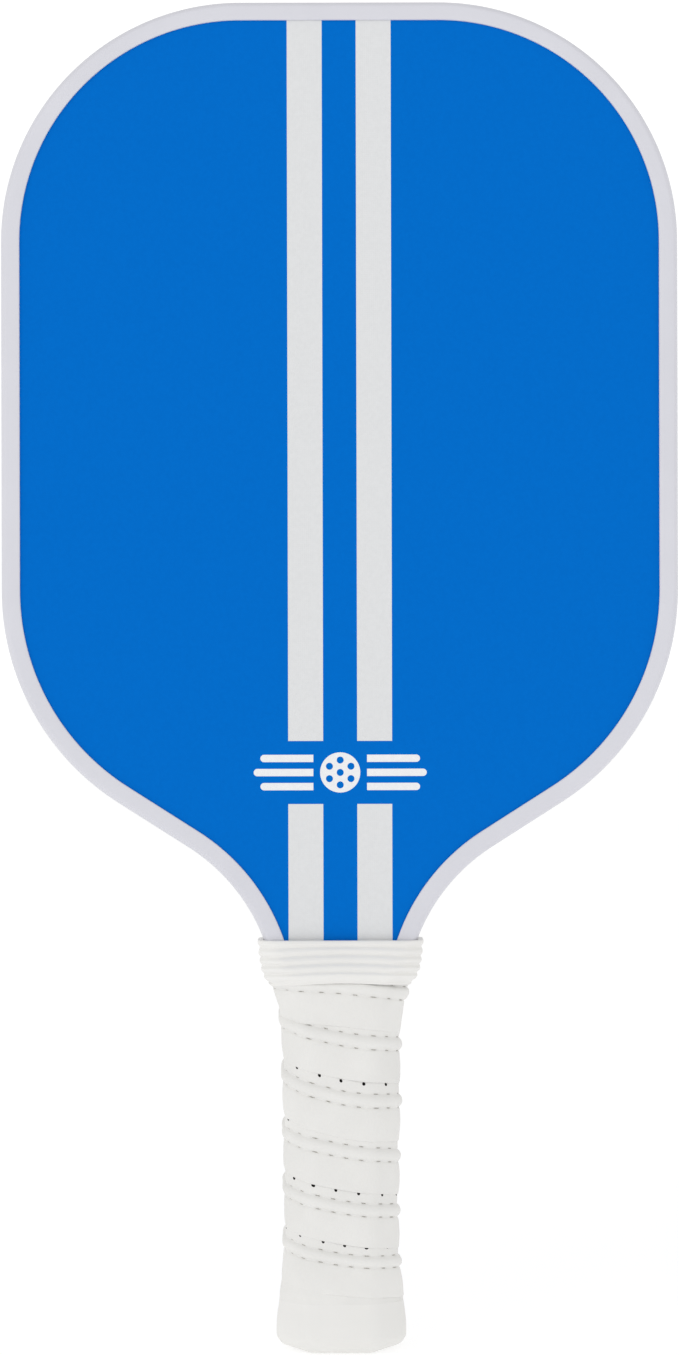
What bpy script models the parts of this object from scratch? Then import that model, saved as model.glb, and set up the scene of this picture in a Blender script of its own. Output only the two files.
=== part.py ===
"""A pickleball paddle: a honeycomb blade with an edge guard, on a two-part handle with a wound grip.

It stands on its butt end. The origin is the centre of the butt's underside, +X runs across the face,
+Z runs up the handle to the tip, and the front face looks along -Y. All lengths are in metres.
"""

import math

import bmesh
import bpy

# Blade outline, as tangent arcs on the right-hand side: top corner, shoulder, straight flank, throat.
LENGTH = 0.4022
HALF_WIDTH = 0.1011
TOP_RADIUS = 0.0709
SHOULDER_RADIUS = 0.0751
SHOULDER_Z = 0.2265
SHOULDER_SWEEP = math.radians(57.5)
FLANK_LENGTH = 0.0249
THROAT_RADIUS = 0.0561
ARC_STEP = math.radians(8.5)

# Blade layers, from the middle plane outwards.
CORE_THICKNESS = 0.0124
FILM_THICKNESS = 0.00015
SHEET_THICKNESS = 0.0005
LAYER_GAP = 0.0001
CELL_PITCH = 0.019
CELL_WALL = 0.0012
CORE_RIM = 0.0016

# Edge guard: a U channel round the blade, with foam tape inside it.
GUARD_WALL = 0.0018
GUARD_LIP = 0.0058
GUARD_HALF_THICKNESS = 0.00825
GUARD_SLOT_HALF = 0.00745
GUARD_END_Z = 0.1154
CORE_INSET = 0.0027
PRINT_END_Z = 0.1164
TAPE_INSET = 0.0020
TAPE_THICKNESS = 0.00045
TAPE_HALF_WIDTH = 0.0069

# Handle: an octagon in section, wider at the butt and below the throat.
HANDLE_HALF_WIDTH = 0.01525
HANDLE_HALF_DEPTH = 0.01225
HANDLE_CHAMFER = 0.0062
CORNER_CUT = 0.0012
MOST_CUT_SHARE = 0.4
CHAMFER_GROWTH = 2 - math.sqrt(2)
TONGUE_HALF_WIDTH = 0.0125
TONGUE_BOTTOM = 0.0240
TONGUE_TOP = 0.1070
SLOT_SLOPE = 0.9
CORE_SHOULDER_Z = 0.1120
FLARE_TOP = 0.0320
FLARE_PER_M = 4.84
THROAT_FLARE_Z = 0.0930
THROAT_FLARE_PER_M = 9.5
BEVEL_Z = 0.1110
BEVEL_SLOPE = 1.5
BEVEL_SQUARE_DEPTH = 0.0066
BEVEL_CHAMFER_SLOPE = 1.2
BEVEL_END_Z = 0.1113
HANDLE_TOP = 0.1140
HANDLE_SECTIONS = (0.0270, FLARE_TOP, THROAT_FLARE_Z, 0.0990, 0.1050, BEVEL_Z, BEVEL_END_Z, HANDLE_TOP)
FIT_GAP = 0.0003

# Butt cap: a flared cup that the handle's spigot plugs into.
SPIGOT_HALF_WIDTH = 0.0136
SPIGOT_HALF_DEPTH = 0.0106
SPIGOT_CHAMFER = 0.0052
SPIGOT_BOTTOM = 0.0038
CAP_FLOOR = 0.0034
CAP_LEDGE = 0.0148
CAP_TOP = 0.0220
CAP_GIRTH = 0.0042
CAP_GIRTH_Z = 0.0075
CAP_TAPER_PER_M = 18.0
CAP_BARE_SECTIONS = (CAP_GIRTH_Z, 0.0100, 0.0125, CAP_LEDGE)
CAP_COVERED_SECTIONS = (CAP_LEDGE, 0.0185, CAP_TOP)
CAP_EDGE_RADIUS = 0.0055
CAP_EDGE_STEPS = 4
BADGE_RADIUS = 0.0075
BADGE_HEIGHT = (0.00035, 0.00115)
RECESS_DEPTH = 0.00145

# Staples that hold the cap, one on each wide side.
STAPLE_Z = 0.0188
STAPLE_HALF_CROWN = 0.0040
STAPLE_CROWN_Y = 0.0126
STAPLE_TIP_Y = 0.0070
STAPLE_WIRE = 0.0004
STAPLE_CHANNEL = 0.0008

# Grip strip: a padded strip with a sewn rib, wound clockwise (from above) up from the cap, each turn
# over the top edge of the turn below. Heights above the handle are given at distances up the strip.
GRIP_FIRST_EDGE = 0.0151
GRIP_PITCH = 0.01618
STRIP_WIDTH = 0.0245
GRIP_TOP = 0.1108
STRIP_OUTSIDE = (
    (0.0, 0.00235),
    (0.0098, 0.0021),
    (0.0104, 0.0029),
    (0.0132, 0.0029),
    (0.0138, 0.0020),
    (0.0163, 0.0016),
    (STRIP_WIDTH, 0.00065),
)
STRIP_BED = 0.0005
LAP = 0.0082
STRIP_LAP_INSIDE = ((0.0, 0.0019), (LAP, 0.00095), (LAP + 0.0006, STRIP_BED), (STRIP_WIDTH, STRIP_BED))
LEAST_STEP = 0.00006
PRESSED_HEIGHT = 0.0010
PRESSED_SLOPE = 0.55
STRIP_END_WIDTH = 0.0090
ADHESIVE_BAND = (0.0110, 0.0190)
ADHESIVE_HEIGHTS = (0.00015, 0.00035)
ADHESIVE_START_TURN = 1.2

# Finishing tape: (z, height above the handle) round its section.
FINISHING_TAPE_SECTION = (
    (0.1098, 0.00175),
    (0.1109, 0.00120),
    (BEVEL_END_Z, 0.00020),
    (0.1138, 0.00020),
    (0.1138, 0.00045),
    (0.1115, 0.00050),
    (0.1111, 0.00150),
    (0.1098, 0.00200),
)

# Rubber collar: (z, half width, half depth, chamfer) up its outside and up its inside.
COLLAR_OUTSIDE = (
    (0.1093, 0.02070, 0.01520, 0.0076),
    (0.1104, 0.02170, 0.01560, 0.0078),
    (0.1122, 0.02280, 0.01540, 0.0075),
    (0.1144, 0.02335, 0.01420, 0.0065),
    (0.1180, 0.02380, 0.01200, 0.0048),
    (0.1222, 0.02435, 0.01000, 0.0032),
)
COLLAR_INSIDE = (
    (0.1093, 0.02010, 0.01460, 0.0073),
    (0.1112, 0.01995, 0.01385, 0.0069),
    (0.1138, 0.02090, 0.00960, 0.0020),
    (0.1152, 0.02130, 0.00865, 0.0020),
    (0.1180, 0.02215, 0.00865, 0.0020),
    (0.1222, 0.02350, 0.00865, 0.0020),
)
COLLAR_GROOVES = 5
GROOVE_PITCH = 0.00245
FIRST_GROOVE_BELOW_TOP = 0.00145
GROOVE_HALF_WIDTH = 0.0006
GROOVE_DEPTH = 0.00035

# name: (sRGB colour, roughness, metallic)
MATERIALS = {
    "polypropylene": ((0.86, 0.87, 0.85), 0.55, 0.0),
    "bond_film": ((0.90, 0.88, 0.80), 0.50, 0.0),
    "fibreglass": ((0.82, 0.84, 0.78), 0.45, 0.0),
    "blue_print": ((0.00, 0.424, 0.788), 0.42, 0.0),
    "white_guard": ((0.86, 0.86, 0.89), 0.38, 0.0),
    "foam_tape": ((0.20, 0.20, 0.21), 0.90, 0.0),
    "handle_foam": ((0.16, 0.16, 0.17), 0.80, 0.0),
    "white_cap": ((0.91, 0.90, 0.89), 0.45, 0.0),
    "badge_film": ((0.78, 0.79, 0.81), 0.30, 0.0),
    "staple_steel": ((0.75, 0.75, 0.76), 0.30, 1.0),
    "white_grip": ((0.90, 0.89, 0.88), 0.60, 0.0),
    "adhesive": ((0.93, 0.91, 0.82), 0.50, 0.0),
    "white_tape": ((0.93, 0.93, 0.92), 0.55, 0.0),
    "white_rubber": ((0.90, 0.90, 0.89), 0.55, 0.0),
}


def clear_scene():
    for existing in list(bpy.data.objects):
        bpy.data.objects.remove(existing, do_unlink=True)


def new_collection(name, is_cutters=False):
    collection = bpy.data.collections.new(name)
    bpy.context.scene.collection.children.link(collection)
    collection.hide_render = is_cutters
    return collection


def linear(channel):
    return channel / 12.92 if channel <= 0.04045 else ((channel + 0.055) / 1.055) ** 2.4


def new_material(name):
    colour, roughness, metallic = MATERIALS[name]
    material = bpy.data.materials.new(name)
    material.use_nodes = True
    shader = material.node_tree.nodes["Principled BSDF"]
    shader.inputs["Base Color"].default_value = (*map(linear, colour), 1.0)
    shader.inputs["Roughness"].default_value = roughness
    shader.inputs["Metallic"].default_value = metallic
    return material


def add_object(name, data, collection, material=None):
    obj = bpy.data.objects.new(name, data)
    collection.objects.link(obj)
    if material:
        data.materials.append(material)
    if collection.hide_render:
        obj.hide_render = True
        obj.display_type = "WIRE"
    return obj


def loft(name, rings, collection, material=None, ends_meet=False):
    """A closed skin over rings of equally many points. Ends are capped, or joined to each other."""
    mesh = bpy.data.meshes.new(name)
    shape = bmesh.new()
    rows = [[shape.verts.new(point) for point in ring] for ring in rings]
    count = len(rows[0])
    pairs = list(zip(rows, rows[1:]))
    if ends_meet:
        pairs.append((rows[-1], rows[0]))
    else:
        shape.faces.new(rows[0])
        shape.faces.new(rows[-1])
    for low, high in pairs:
        for i in range(count):
            j = (i + 1) % count
            shape.faces.new((low[i], low[j], high[j], high[i]))
    bmesh.ops.recalc_face_normals(shape, faces=shape.faces)
    if shape.calc_volume(signed=True) < 0:
        bmesh.ops.reverse_faces(shape, faces=shape.faces)
    shape.to_mesh(mesh)
    shape.free()
    return add_object(name, mesh, collection, material)


def soften(obj, angle=math.radians(30)):
    obj.data.shade_smooth()
    obj.data.set_sharp_from_angle(angle=angle)


def to_mesh(curve_object):
    """The same piece as a mesh whose caps are welded on, so that a Boolean can use it."""
    graph = bpy.context.evaluated_depsgraph_get()
    mesh = bpy.data.meshes.new_from_object(curve_object.evaluated_get(graph), depsgraph=graph)
    shape = bmesh.new()
    shape.from_mesh(mesh)
    bmesh.ops.remove_doubles(shape, verts=shape.verts, dist=0.00001)
    bmesh.ops.recalc_face_normals(shape, faces=shape.faces)
    shape.to_mesh(mesh)
    shape.free()
    name, collection = curve_object.name, curve_object.users_collection[0]
    matrix = curve_object.matrix_world.copy()
    curve = curve_object.data
    bpy.data.objects.remove(curve_object, do_unlink=True)
    bpy.data.curves.remove(curve)
    solid = add_object(name, mesh, collection)
    solid.matrix_world = matrix
    return solid


def upright_sheet(name, outline, low_y, high_y, collection, material=None):
    """A flat piece between two planes of constant Y, from its outline in X and Z."""
    curve = bpy.data.curves.new(name, "CURVE")
    curve.dimensions = "2D"
    curve.fill_mode = "BOTH"
    curve.extrude = (high_y - low_y) / 2
    spline = curve.splines.new("POLY")
    spline.points.add(len(outline) - 1)
    for point, (x, z) in zip(spline.points, outline):
        point.co = (x, z, 0, 1)
    spline.use_cyclic_u = True
    sheet = add_object(name, curve, collection, material)
    sheet.rotation_euler = (math.radians(90), 0, 0)
    sheet.location = (0, (low_y + high_y) / 2, 0)
    bpy.context.view_layer.update()
    return sheet


def cut(obj, cutter):
    boolean = obj.modifiers.new("cut_" + cutter.name, "BOOLEAN")
    boolean.operation = "DIFFERENCE"
    boolean.solver = "EXACT"
    boolean.object = cutter


def between(value, table):
    """The second value of a table of pairs at this first value, in straight runs."""
    if value <= table[0][0]:
        return table[0][1]
    for (low, at_low), (high, at_high) in zip(table, table[1:]):
        if value <= high:
            return at_low + (at_high - at_low) * (value - low) / (high - low)
    return table[-1][1]


# Blade ------------------------------------------------------------------------------------------


def arc(centre, radius, start, end):
    steps = max(1, round(abs(end - start) / ARC_STEP))
    angles = [start + (end - start) * i / steps for i in range(steps + 1)]
    return [(centre[0] + radius * math.cos(a), centre[1] + radius * math.sin(a)) for a in angles]


def throat_centre():
    """The throat arc bends the other way, so its centre is outside the blade."""
    sin, cos = math.sin(SHOULDER_SWEEP), math.cos(SHOULDER_SWEEP)
    x = HALF_WIDTH - SHOULDER_RADIUS * (1 - cos) - FLANK_LENGTH * sin + THROAT_RADIUS * cos
    z = SHOULDER_Z - SHOULDER_RADIUS * sin - FLANK_LENGTH * cos - THROAT_RADIUS * sin
    return x, z


def throat_angle(z):
    """Where the outer outline's throat arc passes this height."""
    return math.pi - math.asin((z - throat_centre()[1]) / THROAT_RADIUS)


def blade_side(inset, end_z):
    """The right-hand side of the blade from its top to the throat, moved in from the outer outline."""
    top = (HALF_WIDTH - TOP_RADIUS, LENGTH - TOP_RADIUS)
    shoulder = (HALF_WIDTH - SHOULDER_RADIUS, SHOULDER_Z)
    side = arc(top, TOP_RADIUS - inset, math.pi / 2, 0)
    side += arc(shoulder, SHOULDER_RADIUS - inset, 0, -SHOULDER_SWEEP)
    side += arc(throat_centre(), THROAT_RADIUS + inset, math.pi - SHOULDER_SWEEP, throat_angle(end_z))
    return side


def both_sides(side):
    return side + [(-x, z) for x, z in reversed(side)]


def core_outline():
    tongue = [(TONGUE_HALF_WIDTH, TONGUE_TOP), (TONGUE_HALF_WIDTH, TONGUE_BOTTOM)]
    return both_sides(blade_side(CORE_INSET, CORE_SHOULDER_Z) + tongue)


def away_from(point, outline):
    """How far inside the outline a point is, or a negative number where it is outside."""
    px, pz = point
    inside, nearest = False, math.inf
    for (ax, az), (bx, bz) in zip(outline, outline[1:] + outline[:1]):
        if (az > pz) != (bz > pz) and px < ax + (bx - ax) * (pz - az) / (bz - az):
            inside = not inside
        dx, dz = bx - ax, bz - az
        share = max(0.0, min(1.0, ((px - ax) * dx + (pz - az) * dz) / (dx * dx + dz * dz)))
        nearest = min(nearest, math.hypot(px - ax - share * dx, pz - az - share * dz))
    return nearest if inside else -nearest


def cell_centres(outline):
    """A hexagonal grid, symmetric about X = 0, of the cells that fit whole inside the rim."""
    row_height = CELL_PITCH * math.sqrt(3) / 2
    corner = (CELL_PITCH - CELL_WALL) / math.sqrt(3)
    rows = int(LENGTH / row_height)
    columns = int(HALF_WIDTH / CELL_PITCH) + 1
    found = []
    for row in range(rows):
        z = TONGUE_BOTTOM + CORE_RIM + corner + row * row_height
        shift = 0.5 * (row % 2)
        for column in range(-columns - 1, columns + 1):
            centre = ((column + shift) * CELL_PITCH, z)
            if away_from(centre, outline) > corner + CORE_RIM:
                found.append(centre)
    return found


def make_core(parts, cutters, material):
    outline = core_outline()
    half = CORE_THICKNESS / 2
    core = to_mesh(upright_sheet("honeycomb_core", outline, -half, half, parts))
    core.data.materials.clear()
    core.data.materials.append(material)
    corner = (CELL_PITCH - CELL_WALL) / math.sqrt(3)
    cells = bmesh.new()
    for x, z in cell_centres(outline):
        made = bmesh.ops.create_cone(
            cells, cap_ends=True, segments=6, radius1=corner, radius2=corner, depth=2 * CORE_THICKNESS
        )
        bmesh.ops.translate(cells, verts=made["verts"], vec=(x, z, 0))
    mesh = bpy.data.meshes.new("honeycomb_cells")
    cells.to_mesh(mesh)
    cells.free()
    cutter = add_object("honeycomb_cells", mesh, cutters)
    cutter.rotation_euler = (math.radians(90), 0, 0)
    cut(core, cutter)


def make_layers(parts, materials):
    """The bonded layers on both faces. The print covers only the blade, down to inside the collar."""
    full, blade = core_outline(), both_sides(blade_side(CORE_INSET, PRINT_END_Z))
    layers = (
        ("bond_film", FILM_THICKNESS, full, "bond_film"),
        ("face_sheet", SHEET_THICKNESS, full, "fibreglass"),
        ("graphic_film", FILM_THICKNESS, blade, "blue_print"),
    )
    inner = CORE_THICKNESS / 2
    for layer, thickness, outline, slot in layers:
        inner += LAYER_GAP
        outer = inner + thickness
        upright_sheet("front_" + layer, outline, -outer, -inner, parts, materials[slot])
        upright_sheet("back_" + layer, outline, inner, outer, parts, materials[slot])
        inner = outer


def sweep_round_blade(name, section, collection, material):
    """A profile of (inset, y) points carried round the blade, open at the throat."""
    sides = [blade_side(inset, GUARD_END_Z) for inset, _ in section]
    lines = [[(-x, z) for x, z in reversed(side)] + side for side in sides]
    rings = [
        [(line[i][0], y, line[i][1]) for line, (_, y) in zip(lines, section)]
        for i in range(len(lines[0]))
    ]
    piece = loft(name, rings, collection, material)
    soften(piece)
    return piece


def make_edge_guard(parts, materials):
    half, slot = GUARD_HALF_THICKNESS, GUARD_SLOT_HALF
    outside = [
        (0.0, 0.0045),
        (0.0007, 0.0068),
        (0.0018, 0.0081),
        (0.0026, half),
        (GUARD_LIP - 0.0004, half),
        (GUARD_LIP, half - 0.0003),
        (GUARD_LIP, slot),
        (GUARD_WALL, slot),
    ]
    section = outside + [(inset, -y) for inset, y in reversed(outside)]
    sweep_round_blade("edge_guard", section, parts, materials["white_guard"])
    low, high = TAPE_INSET, TAPE_INSET + TAPE_THICKNESS
    wide = TAPE_HALF_WIDTH
    section = [(low, -wide), (low, wide), (high, wide), (high, -wide)]
    sweep_round_blade("edge_guard_tape", section, parts, materials["foam_tape"])


# Handle -----------------------------------------------------------------------------------------


def octagon(half_width, half_depth, chamfer):
    """Eight corners, each cut by a short facet: 16 points clockwise from above, from the +X side."""
    w, d, c, e = half_width, half_depth, chamfer, min(CORNER_CUT, MOST_CUT_SHARE * chamfer)
    front = [
        (w, -(d - c) + e),
        (w - e * math.sqrt(0.5), -(d - c) - e * math.sqrt(0.5)),
        (w - c + e * math.sqrt(0.5), -d + e * math.sqrt(0.5)),
        (w - c - e, -d),
    ]
    front += [(-x, y) for x, y in reversed(front)]
    return front + [(x, -y) for x, y in reversed(front)]


def butt_flare(z):
    return FLARE_PER_M * max(0.0, FLARE_TOP - z) ** 2


def handle_size(z, height=0.0):
    """Half width, half depth and chamfer of the surface at this height above the handle's own."""
    width = HANDLE_HALF_WIDTH + butt_flare(z) + THROAT_FLARE_PER_M * max(0.0, z - THROAT_FLARE_Z) ** 2
    depth = HANDLE_HALF_DEPTH + butt_flare(z) - BEVEL_SLOPE * max(0.0, z - BEVEL_Z)
    chamfer = min(HANDLE_CHAMFER, BEVEL_CHAMFER_SLOPE * (depth - BEVEL_SQUARE_DEPTH))
    return width + height, depth + height, chamfer + CHAMFER_GROWTH * height


def handle_ring(z, height=0.0):
    return [(x, y, z) for x, y in octagon(*handle_size(z, height))]


def half_ring(size, z, side):
    """One half of the handle's section: side is -1 for the front and +1 for the back."""
    front = octagon(*size)[:8]
    seam = FIT_GAP / 2
    half = [(size[0], -seam), *front, (-size[0], -seam)]
    return [(x, -side * y, z) for x, y in half]


def make_handle_half(name, side, parts, cutters, material):
    spigot = (SPIGOT_HALF_WIDTH, SPIGOT_HALF_DEPTH, SPIGOT_CHAMFER)
    above_cap = CAP_TOP + FIT_GAP
    rings = [half_ring(spigot, SPIGOT_BOTTOM, side), half_ring(spigot, above_cap, side)]
    rings += [half_ring(handle_size(z), z, side) for z in (above_cap + FIT_GAP, *HANDLE_SECTIONS)]
    half = loft(name, rings, parts, material)
    cut(half, cutters["tongue_slot"])
    cut(half, cutters["staple_channel_front" if side < 0 else "staple_channel_back"])
    return half


def make_tongue_slot(cutters):
    """The room for the blade's tongue, which opens out at the tongue's top to clear the core."""
    wide, high = HALF_WIDTH / 2, LENGTH / 2
    room = TONGUE_HALF_WIDTH + FIT_GAP
    ledge = TONGUE_TOP - FIT_GAP
    side = [(wide, high), (wide, ledge + SLOT_SLOPE * (wide - room)), (room, ledge)]
    side.append((room, TONGUE_BOTTOM - FIT_GAP))
    half = CORE_THICKNESS / 2 + 2 * LAYER_GAP + FILM_THICKNESS + SHEET_THICKNESS + FIT_GAP
    return to_mesh(upright_sheet("tongue_slot", both_sides(side), -half, half, cutters))


def staple_curve(name, side, wire, tip_y, collection, material=None):
    curve = bpy.data.curves.new(name, "CURVE")
    curve.dimensions = "3D"
    curve.bevel_depth = wire
    curve.bevel_resolution = 1
    curve.use_fill_caps = True
    spline = curve.splines.new("POLY")
    half, crown = STAPLE_HALF_CROWN, side * STAPLE_CROWN_Y
    route = [(-half, side * tip_y), (-half, crown), (half, crown), (half, side * tip_y)]
    spline.points.add(len(route) - 1)
    for point, (x, y) in zip(spline.points, route):
        point.co = (x, y, STAPLE_Z, 1)
    return add_object(name, curve, collection, material)


def make_staple(side, parts, cutters, material):
    end = "front" if side < 0 else "back"
    staple_curve(f"butt_cap_staple_{end}", side, STAPLE_WIRE, STAPLE_TIP_Y, parts, material)
    deeper = STAPLE_TIP_Y - 2 * FIT_GAP
    return to_mesh(staple_curve(f"staple_channel_{end}", side, STAPLE_CHANNEL, deeper, cutters))


def cap_girth(z):
    """How far the cap's bare skirt stands out from the plain handle section."""
    return CAP_GIRTH - CAP_TAPER_PER_M * (z - CAP_GIRTH_Z) ** 2


def cap_ring(z, height):
    size = (HANDLE_HALF_WIDTH + height, HANDLE_HALF_DEPTH + height, HANDLE_CHAMFER + CHAMFER_GROWTH * height)
    return [(x, y, z) for x, y in octagon(*size)]


def make_butt_cap(parts, cutters, material):
    edge = CAP_EDGE_RADIUS
    girth = cap_girth(CAP_GIRTH_Z)
    rings = []
    for step in range(CAP_EDGE_STEPS + 1):
        angle = math.pi / 2 * step / CAP_EDGE_STEPS
        rings.append(cap_ring(edge * (1 - math.cos(angle)), girth - edge * (1 - math.sin(angle))))
    rings += [cap_ring(z, cap_girth(z)) for z in CAP_BARE_SECTIONS]
    rings += [handle_ring(z) for z in CAP_COVERED_SECTIONS]
    room = (SPIGOT_HALF_WIDTH + FIT_GAP, SPIGOT_HALF_DEPTH + FIT_GAP, SPIGOT_CHAMFER)
    rings += [[(x, y, z) for x, y in octagon(*room)] for z in (CAP_TOP, CAP_FLOOR)]
    cap = loft("butt_cap", rings, parts, material)
    soften(cap)
    recess = disc("badge_recess", BADGE_RADIUS + FIT_GAP, -RECESS_DEPTH, RECESS_DEPTH, cutters)
    cut(cap, recess)
    cut(cap, cutters.objects["staple_channel_front"])
    cut(cap, cutters.objects["staple_channel_back"])


def disc(name, radius, low, high, collection, material=None):
    mesh = bpy.data.meshes.new(name)
    shape = bmesh.new()
    bmesh.ops.create_cone(
        shape, cap_ends=True, segments=32, radius1=radius, radius2=radius, depth=high - low
    )
    shape.to_mesh(mesh)
    shape.free()
    obj = add_object(name, mesh, collection, material)
    obj.location.z = (low + high) / 2
    soften(obj)
    return obj


# Grip -------------------------------------------------------------------------------------------


def corner_shares():
    """How far round the handle each of the octagon's 16 points is, from the middle of the +X side."""
    ring = octagon(HANDLE_HALF_WIDTH, HANDLE_HALF_DEPTH, HANDLE_CHAMFER)
    lengths = [math.dist(a, b) for a, b in zip(ring, ring[1:] + ring[:1])]
    half_side = lengths[-1] / 2
    travelled = [half_side + sum(lengths[:i]) for i in range(len(ring))]
    return [t / sum(lengths) for t in travelled]


def grip_stations():
    """(turns wound, index of the octagon's point) from the strip's start to its trimmed end."""
    shares = corner_shares()
    found = []
    turn = 0
    while True:
        for index, share in enumerate(shares):
            if strip_edge(turn + share) > GRIP_TOP - STRIP_END_WIDTH:
                return found
            found.append((turn + share, index))
        turn += 1


def strip_edge(turns):
    """The height of the strip's lower edge, before it is trimmed."""
    return GRIP_FIRST_EDGE + GRIP_PITCH * (turns - 1)


def spread(values, low, high):
    """The values held between two limits, and kept apart where the limits crowd them."""
    last = len(values) - 1
    return [
        max(low + i * LEAST_STEP, min(high - (last - i) * LEAST_STEP, value))
        for i, value in enumerate(values)
    ]


def strip_section(turns):
    """(z, height above the handle) round the strip's section, up its outside and down its inside."""
    edge = strip_edge(turns)
    low = max(GRIP_FIRST_EDGE - edge, 0.0)
    high = min(GRIP_TOP - edge, STRIP_WIDTH)
    outside = spread([s for s, _ in STRIP_OUTSIDE], low, high)
    inside = spread([s for s, _ in STRIP_LAP_INSIDE], low, high)
    section = []
    for s in outside:
        pressed = PRESSED_HEIGHT + PRESSED_SLOPE * (GRIP_TOP - edge - s)
        section.append((edge + s, min(pressed, between(s, STRIP_OUTSIDE))))
    for s in reversed(inside):
        lies_on_cap = turns < 1
        section.append((edge + s, STRIP_BED if lies_on_cap else between(s, STRIP_LAP_INSIDE)))
    return section


def on_handle(z, height, index):
    x, y = octagon(*handle_size(z, height))[index]
    return x, y, z


def make_grip(parts, materials):
    stations = grip_stations()
    rings = [[on_handle(z, h, index) for z, h in strip_section(turns)] for turns, index in stations]
    soften(loft("grip_strip", rings, parts, materials["white_grip"]), math.radians(40))
    low, high = ADHESIVE_BAND
    thin, thick = ADHESIVE_HEIGHTS
    section = ((low, thin), (low, thick), (high, thick), (high, thin))
    rings = []
    for turns, index in stations:
        edge = strip_edge(turns)
        if turns > ADHESIVE_START_TURN and edge + high < GRIP_TOP:
            rings.append([on_handle(edge + s, h, index) for s, h in section])
    loft("grip_adhesive_tape", rings, parts, materials["adhesive"])


def make_finishing_tape(parts, material):
    rings = [handle_ring(z, height) for z, height in FINISHING_TAPE_SECTION]
    soften(loft("grip_finishing_tape", rings, parts, material, ends_meet=True))


def collar_ring(z, table, pressed=0.0):
    width, depth, chamfer = (between(z, [(row[0], row[i]) for row in table]) for i in (1, 2, 3))
    return [(x, y, z) for x, y in octagon(width - pressed, depth - pressed, chamfer)]


def make_collar(parts, material):
    top, bottom = COLLAR_OUTSIDE[-1][0], COLLAR_OUTSIDE[0][0]
    rings = [collar_ring(bottom, COLLAR_OUTSIDE)]
    for number in reversed(range(COLLAR_GROOVES)):
        middle = top - FIRST_GROOVE_BELOW_TOP - GROOVE_PITCH * number
        for shift, pressed in ((-GROOVE_HALF_WIDTH, 0.0), (0.0, GROOVE_DEPTH), (GROOVE_HALF_WIDTH, 0.0)):
            rings.append(collar_ring(middle + shift, COLLAR_OUTSIDE, pressed))
    rings.append(collar_ring(top, COLLAR_OUTSIDE))
    rings += [collar_ring(row[0], COLLAR_INSIDE) for row in reversed(COLLAR_INSIDE)]
    soften(loft("rubber_collar", rings, parts, material, ends_meet=True))


def main():
    clear_scene()
    parts = new_collection("pickleball_paddle")
    cutters = new_collection("cutters", is_cutters=True)
    materials = {name: new_material(name) for name in MATERIALS}
    make_core(parts, cutters, materials["polypropylene"])
    make_layers(parts, materials)
    make_edge_guard(parts, materials)
    make_tongue_slot(cutters)
    for side in (-1, 1):
        make_staple(side, parts, cutters, materials["staple_steel"])
    make_handle_half("handle_front_half", -1, parts, cutters.objects, materials["handle_foam"])
    make_handle_half("handle_back_half", 1, parts, cutters.objects, materials["handle_foam"])
    make_butt_cap(parts, cutters, materials["white_cap"])
    disc("butt_cap_badge", BADGE_RADIUS, *BADGE_HEIGHT, parts, materials["badge_film"])
    make_grip(parts, materials)
    make_finishing_tape(parts, materials["white_tape"])
    make_collar(parts, materials["white_rubber"])


main()
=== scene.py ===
"""Looks for the pickleball paddle: a moulded edge guard, printed faces, a ribbed collar, a butt cap and
a wound grip with its sewn rib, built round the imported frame. All lengths are in metres.
"""

import math

import bmesh
import bpy
import numpy as np
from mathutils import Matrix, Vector


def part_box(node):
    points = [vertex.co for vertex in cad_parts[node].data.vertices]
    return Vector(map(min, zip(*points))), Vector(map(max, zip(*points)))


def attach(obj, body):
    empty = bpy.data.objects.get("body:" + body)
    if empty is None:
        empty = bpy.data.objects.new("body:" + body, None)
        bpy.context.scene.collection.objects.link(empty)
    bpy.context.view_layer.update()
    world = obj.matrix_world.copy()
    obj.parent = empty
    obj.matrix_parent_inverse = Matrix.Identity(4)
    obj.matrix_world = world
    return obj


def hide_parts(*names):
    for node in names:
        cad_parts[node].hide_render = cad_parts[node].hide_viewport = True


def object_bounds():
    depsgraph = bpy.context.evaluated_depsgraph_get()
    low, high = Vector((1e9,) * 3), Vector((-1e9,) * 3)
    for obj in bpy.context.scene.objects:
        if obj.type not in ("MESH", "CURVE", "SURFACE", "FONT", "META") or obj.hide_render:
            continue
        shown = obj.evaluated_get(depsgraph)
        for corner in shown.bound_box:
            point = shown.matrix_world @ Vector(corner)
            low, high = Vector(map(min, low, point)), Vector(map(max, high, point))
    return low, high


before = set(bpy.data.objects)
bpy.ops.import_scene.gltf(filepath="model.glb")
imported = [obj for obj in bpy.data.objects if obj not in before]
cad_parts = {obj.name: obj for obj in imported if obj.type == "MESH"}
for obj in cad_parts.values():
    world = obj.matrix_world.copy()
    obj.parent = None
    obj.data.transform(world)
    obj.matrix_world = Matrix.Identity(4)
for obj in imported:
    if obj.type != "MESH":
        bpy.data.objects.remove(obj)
CAD_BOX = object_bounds()

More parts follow.
